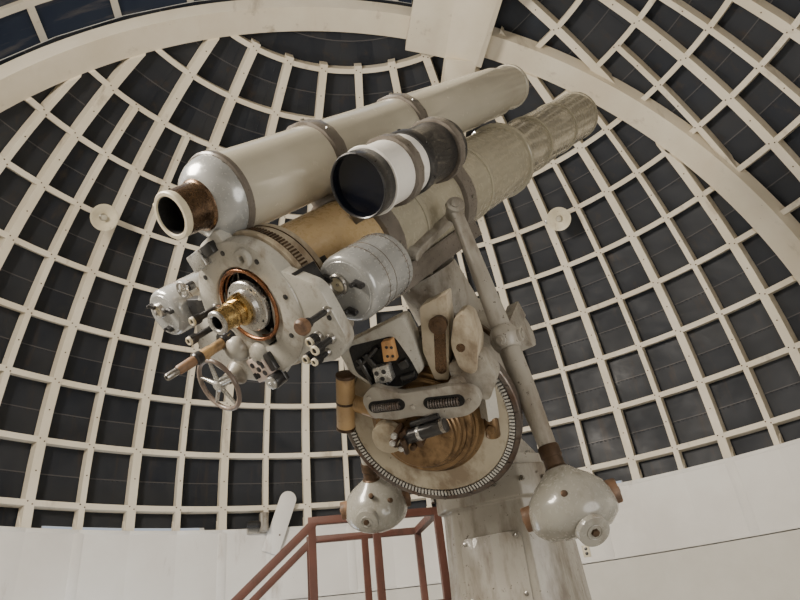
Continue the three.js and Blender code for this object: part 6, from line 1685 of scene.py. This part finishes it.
knobValues = {
    "rods": ((0.059, -0.158, -0.965, -1.085, 0.016), (0.005, -0.237, -0.959, -1.090, 0.016),
             (-0.125, 0.338, -0.959, -1.080, 0.014), (-0.213, 0.290, -0.959, -1.050, 0.016),
             (-0.235, 0.190, -0.959, -1.020, 0.015), (-0.250, 0.240, -0.959, -1.035, 0.013),
             (-0.190, 0.240, -0.959, -1.010, 0.017)),
    "brownCap": (-0.125, 0.338, -1.080), "slimAt": (-0.062, -0.203), "ringWheel": (0.178, -0.233, -1.000),
    "socket": ((-0.255, -0.150, -0.990), (-0.160, -0.055, -0.956)), "motorAt": (-0.268, -0.060),
}


def makeKnobs(values):
    black, white, brown, steel = bmesh.new(), bmesh.new(), bmesh.new(), bmesh.new()
    for x, y, z0, z1, r in values["rods"]:
        addRod(steel, tubeFrame, (x, y, z0 + 0.010), (x, y, z0 - 0.014), r * 1.25, r * 1.1, 28, 0.003)
        addRods(black, tubeFrame,
            ((x, y, z0 - 0.010), (x, y, z1 + 0.030), r * 0.78, 24, 0),
            ((x, y, z1 + 0.038), (x, y, z1 + 0.008), r * 1.1, 28, 0.003))
        for k in range(16):
            a = 2 * pi * k / 16
            addRod(black, tubeFrame, around((x, y), r * 1.08, a, z1 + 0.034),
                around((x, y), r * 1.08, a, z1 + 0.012), r * 0.12, sides=6)
        addLathe(white, tubeFrame, [(r * 0.55, z1 + 0.009), (r * 1.0, z1 + 0.009), (r * 1.0, z1 + 0.002),
            (r * 0.9, z1), (r * 0.62, z1), (r * 0.55, z1 + 0.003)], 32, (x, y), True)
        addRod(black, tubeFrame, (x, y, z1 + 0.010), (x, y, z1 + 0.004), r * 0.58, sides=20)
    x, y = values["slimAt"]
    addLathe(black, tubeFrame, [(0, -0.94), (0.052, -0.94), (0.052, -0.968), (0.046, -0.972), (0.040, -0.988),
        (0.026, -0.992), (0.026, -0.998), (0, -0.998)], 48, (x, y))
    addLathe(black, tubeFrame, [(0, -1.098), (0.023, -1.098), (0.024, -1.102), (0.024, -1.122),
        (0.020, -1.128), (0, -1.128)], 40, (x, y))
    slim = bmesh.new()
    addLathe(slim, tubeFrame, [(0, -0.990), (0.021, -0.992), (0.019, -1.050), (0.021, -1.054),
        (0.0205, -1.100), (0, -1.102)], 40, (x, y))
    addRod(slim, tubeFrame, (x - 0.026, y, -1.075), (x, y, -1.075), 0.006, sides=16, width=0.001)
    finishPiece(slim, "slimBarrel", "tubes", "goldTan", "wheel_metal", ("breech",))
    addLathe(brown, tubeFrame, [(0, -1.126), (0.017, -1.126), (0.019, -1.140), (0.0175, -1.196),
        (0.014, -1.202), (0, -1.202)], 36, (x, y))
    addLathe(steel, tubeFrame, [(0.006, -1.196), (0.012, -1.198), (0.0135, -1.206), (0.0135, -1.240),
        (0.011, -1.249), (0.006, -1.249)], 36, (x, y), True)
    addRod(black, tubeFrame, (x, y, -1.199), (x, y, -1.243), 0.0062, sides=20)
    x, y, z = values["brownCap"]
    addLathe(brown, tubeFrame, [(0, z + 0.020), (0.022, z + 0.018), (0.027, z + 0.010), (0.027, z - 0.006),
        (0.020, z - 0.014), (0, z - 0.016)], 36, (x, y))
    centre = values["ringWheel"]
    addTorus(steel, tubeFrame, centre, 0.028, 0.0045, 36, 8)
    for k in range(3):
        a = radians(120 * k + 20)
        addRod(steel, tubeFrame, centre, around(centre, 0.028, a, centre[2]), 0.003, sides=8)
    addRod(steel, tubeFrame, (centre[0], centre[1], -0.955), (centre[0], centre[1], centre[2] - 0.004), 0.007,
        sides=16)
    addRod(black, tubeFrame, (centre[0], centre[1], -0.950), (centre[0], centre[1], -0.975), 0.016, sides=24,
        width=0.002)
    finishPiece(black, "knobGrips", "tubes", "blackPaint", "dark_casting", ("breech",))
    finishPiece(white, "knobEnds", "tubes", "ivory", "white_enamel")
    finishPiece(brown, "knobCaps", "tubes", "rustWood", "dark_casting")
    finishPiece(steel, "knobStems", "tubes", "turnedSteel", "wheel_metal")

    low, high = (Vector(corner) for corner in values["socket"])
    socket, plugs = bmesh.new(), bmesh.new()
    addBox(socket, tubeFrame, low, high, 0.005)
    middle = (low + high) / 2
    for dx, dy in ((-0.020, -0.022), (0.022, -0.022), (-0.020, 0.022), (0.022, 0.022), (0.0, 0.0)):
        addRod(plugs, tubeFrame, (middle.x + dx, middle.y + dy, low.z + 0.004),
            (middle.x + dx, middle.y + dy, low.z - 0.003), 0.0105, sides=20, width=0.001)
    for dx, dy in ((-0.018, -0.034), (0.010, 0.034)):
        addBox(plugs, tubeFrame, (middle.x + dx - 0.012, middle.y + dy - 0.005, low.z - 0.008),
            (middle.x + dx + 0.012, middle.y + dy + 0.005, low.z + 0.002), 0.001)
    addBox(plugs, tubeFrame, (low.x + 0.02, high.y + 0.001, low.z + 0.006),
        (high.x - 0.006, high.y + 0.034, high.z), 0.004)
    finishPiece(socket, "socketBlock", "tubes", "pinkBlock", "white_enamel")
    finishPiece(plugs, "socketFace", "tubes", "blackPaint", "dark_casting")
    x, y = values["motorAt"]
    motor, cap = bmesh.new(), bmesh.new()
    addRod(motor, tubeFrame, (x, y, -0.945), (x, y, -1.000), 0.028, sides=36, width=0.004)
    addBox(motor, tubeFrame, (x - 0.02, y - 0.03, -0.962), (x + 0.05, y + 0.03, -0.945), 0.003)
    addRods(cap, tubeFrame,
        ((x, y, -0.998), (x, y, -1.010), 0.024, 36, 0.003),
        ((x, y, -1.008), (x, y, -1.018), 0.008, 20, 0.001))
    finishPiece(motor, "focusMotor", "tubes", "blackPaint", "dark_casting")
    finishPiece(cap, "focusMotorCap", "tubes", "silverGrey", "rail_steel")


makeKnobs(knobValues)

drumValues = {
    "near": {"at": (-0.106, 0.334), "radius": 0.122, "front": -0.840, "back": -0.590},
    "far": {"at": (0.140, -0.430), "radius": 0.097, "front": -1.000, "back": -0.750},
}


def makeDrum(name, values):
    r, z0, z1, at = values["radius"], values["front"], values["back"], values["at"]
    s = r / 0.145
    turnedPiece(f"drumShell{name}", ("tubes", "drumSilver", "tube_enamel", (f"drum_{name.lower()}",)),
        tubeFrame, [(0, z0 + 0.001), (r * 0.86, z0 + 0.001), (r * 0.91, z0 + 0.003), (r * 0.955, z0 + 0.008),
        (r * 0.985, z0 + 0.015), (r, z0 + 0.024), (r, z1 - 0.034), (r * 0.97, z1 - 0.016),
        (r * 0.86, z1 - 0.002), (0, z1)], 72, at)
    seams = bmesh.new()
    for z in (z0 + 0.085, z0 + 0.125, z1 - 0.045):
        addTorus(seams, tubeFrame, (*at, z), r - 0.0008, 0.0018, 72, 6)
    finishPiece(seams, f"drumSeams{name}", "tubes", "brownIron", "dark_casting")
    rivets = bmesh.new()
    for z in (z0 + 0.078, z0 + 0.092, z1 - 0.052, z1 - 0.038):
        for k in range(36):
            a = 2 * pi * k / 36
            addBolt(rivets, tubeFrame, around(at, r, a, z), around((0, 0), 1, a, 0), 0.0026, 0.0016)
    finishPiece(rivets, f"drumRivets{name}", "tubes", "turnedSteel", "rail_steel")
    turnedPiece(f"drumFace{name}", ("tubes", "drumSilver", "tube_enamel"), tubeFrame,
        [(0, z0 - 0.001), (r * 0.82, z0 - 0.001), (r * 0.84, z0 + 0.0015), (0, z0 + 0.0015)], 64, at)
    port, glass = bmesh.new(), bmesh.new()
    x, y = at[0] + 0.034 * s, at[1] - 0.012 * s
    addLathe(port, tubeFrame, [(0.030 * s, z0 + 0.002), (0.046 * s, z0 + 0.002), (0.046 * s, z0 - 0.010),
        (0.041 * s, z0 - 0.016), (0.034 * s, z0 - 0.016), (0.030 * s, z0 - 0.010)], 40, (x, y), True)
    addRod(glass, tubeFrame, (x, y, z0 + 0.002), (x, y, z0 - 0.008), 0.030 * s, sides=36)
    addRod(port, tubeFrame, (x, y, z0), (x, y, z0 - 0.012), 0.006 * s, sides=16)
    finishPiece(port, f"drumPort{name}", "tubes", "turnedSteel", "rail_steel")
    finishPiece(glass, f"drumGlass{name}", "tubes", "ivory", "white_enamel")
    knobs = bmesh.new()
    for dx, dy in ((0.085, -0.055), (0.010, 0.075), (-0.075, -0.030)):
        a, b = Vector((at[0] + dx * s, at[1] + dy * s)), Vector((at[0] + (dx - 0.020) * s,
            at[1] + (dy + 0.022) * s))
        addSlot(knobs, tubeFrame, a, b, 0.024 * s, z0 - 0.018, z0 + 0.003, 0.002)
        addRod(knobs, tubeFrame, (*a, z0 - 0.040 * s), (*a, z0 - 0.012), 0.010 * s, sides=20, width=0.002)
    finishPiece(knobs, f"drumKnobs{name}", "tubes", "blackPaint", "dark_casting")


makeDrum("Near", drumValues["near"])
makeDrum("Far", drumValues["far"])

wheelValues = {"at": (-0.191, -0.286, -1.050), "radius": 0.103, "thick": 0.009}


def makeHandwheel(values):
    x, y, z = values["at"]
    rim = bmesh.new()
    addTorus(rim, tubeFrame, values["at"], values["radius"], values["thick"], 64, 12)
    finishPiece(rim, "handwheelRim", "wheel", "rimBrown", "wheel_metal", ("handwheel",))
    spokes = bmesh.new()
    addLathe(spokes, tubeFrame, [(0, z - 0.016), (0.015, z - 0.016), (0.022, z - 0.010), (0.024, z + 0.004),
        (0.018, z + 0.0396), (0, z + 0.0396)], 36, (x, y))
    for k in range(5):
        a = 2 * pi * k / 5 + 0.3
        reach = values["radius"] - 0.002
        addRod(spokes, tubeFrame, around((x, y), 0.012, a, z), around((x, y), reach, a, z), 0.0088, 0.0060,
            18)
    finishPiece(spokes, "handwheelSpokes", "wheel", "silverGrey", "wheel_metal", ("handwheel",))
    nut = bmesh.new()
    addBolt(nut, tubeFrame, (x, y, z - 0.0155), (0, 0, -1), 0.008, 0.0)
    finishPiece(nut, "handwheelNut", "wheel", "agedBrass", "wheel_metal")
    stem = bmesh.new()
    low = breechValues["lobeLow"]
    addLathe(stem, tubeFrame, [(0, z + 0.0402), (0.022, z + 0.041), (0.026, low - 0.036),
        (0.034, low - 0.020), (0.046, low - 0.008), (0.050, low + 0.003), (0, low + 0.003)], 44, (x, y))
    finishPiece(stem, "handwheelStem", "tubes", "mountPaint", "casting", ("breech",))


makeHandwheel(wheelValues)

saddleValues = {"strut": ((-0.150, 0.170, -0.220), (-0.110, 0.200, 0.110))}


def makeSaddle(values):
    dressed("saddle", "tubes", "saddleDark", "dark_casting", 0.006)
    bolts = bmesh.new()
    for z in (-0.33, 0.33):
        for radius, at in ((0.236, (0, 0)), (0.168, guideValues["at"])):
            for k in range(8):
                a = radians(45 * k + 20)
                addBolt(bolts, tubeFrame, around(at, radius, a, z), around((0, 0), 1, a, 0), 0.009, 0.006)
    for z in (-0.30, -0.10, 0.10, 0.30):
        for y in (-0.1, 0.1):
            addBolt(bolts, tubeFrame, (-0.270, y, z), (-1, 0, 0), 0.014, 0.012)
    finishPiece(bolts, "saddleBolts", "tubes", "turnedSteel", "rail_steel")
    strut = bmesh.new()
    low, high = (Vector(end) for end in values["strut"])
    addBar(strut, tubeFrame, low, high, 0.044, 0.044, 0.004)
    for end in (low, high):
        out = Vector((end.x, end.y, 0)).normalized()
        addRod(strut, tubeFrame, end - out * 0.024, end + out * 0.028, 0.028, sides=28, width=0.003)
    finishPiece(strut, "cradleStrut", "tubes", "mountPaint", "casting")


makeSaddle(saddleValues)
print("breech, drums and saddle made")

# Stair

stairValues = {"x": (-1.150, -0.480), "y": (-0.560, 0.160), "top": 1.390, "steps": 7, "going": 0.190,
    "floor": 0.120}


def makeStair(values):
    dressed("stair_flight", "building", "redSteel", "door_steel", 0.004)
    dressed("stair_railing", "building", "redSteel", "door_steel", 0.005)
    treads = bmesh.new()
    rise = (values["top"] - values["floor"]) / (values["steps"] + 1)
    x0, x1 = values["x"]
    for i in range(1, values["steps"] + 1):
        z = values["top"] - rise * i
        y = values["y"][0] - values["going"] * i
        for k in range(4):
            addBox(treads, world, (x0 + 0.06, y + 0.02 + 0.05 * k, z - 0.001),
                (x1 - 0.06, y + 0.045 + 0.05 * k, z + 0.003), 0.001)
    for k in range(12):
        y = values["y"][0] + 0.03 + 0.056 * k
        addBox(treads, world, (x0 + 0.06, y, values["top"] - 0.001),
            (x1 - 0.06, y + 0.025, values["top"] + 0.003), 0.001)
    finishPiece(treads, "stairTreads", "building", "railSteel", "rail_steel")


makeStair(stairValues)
print("stair made")
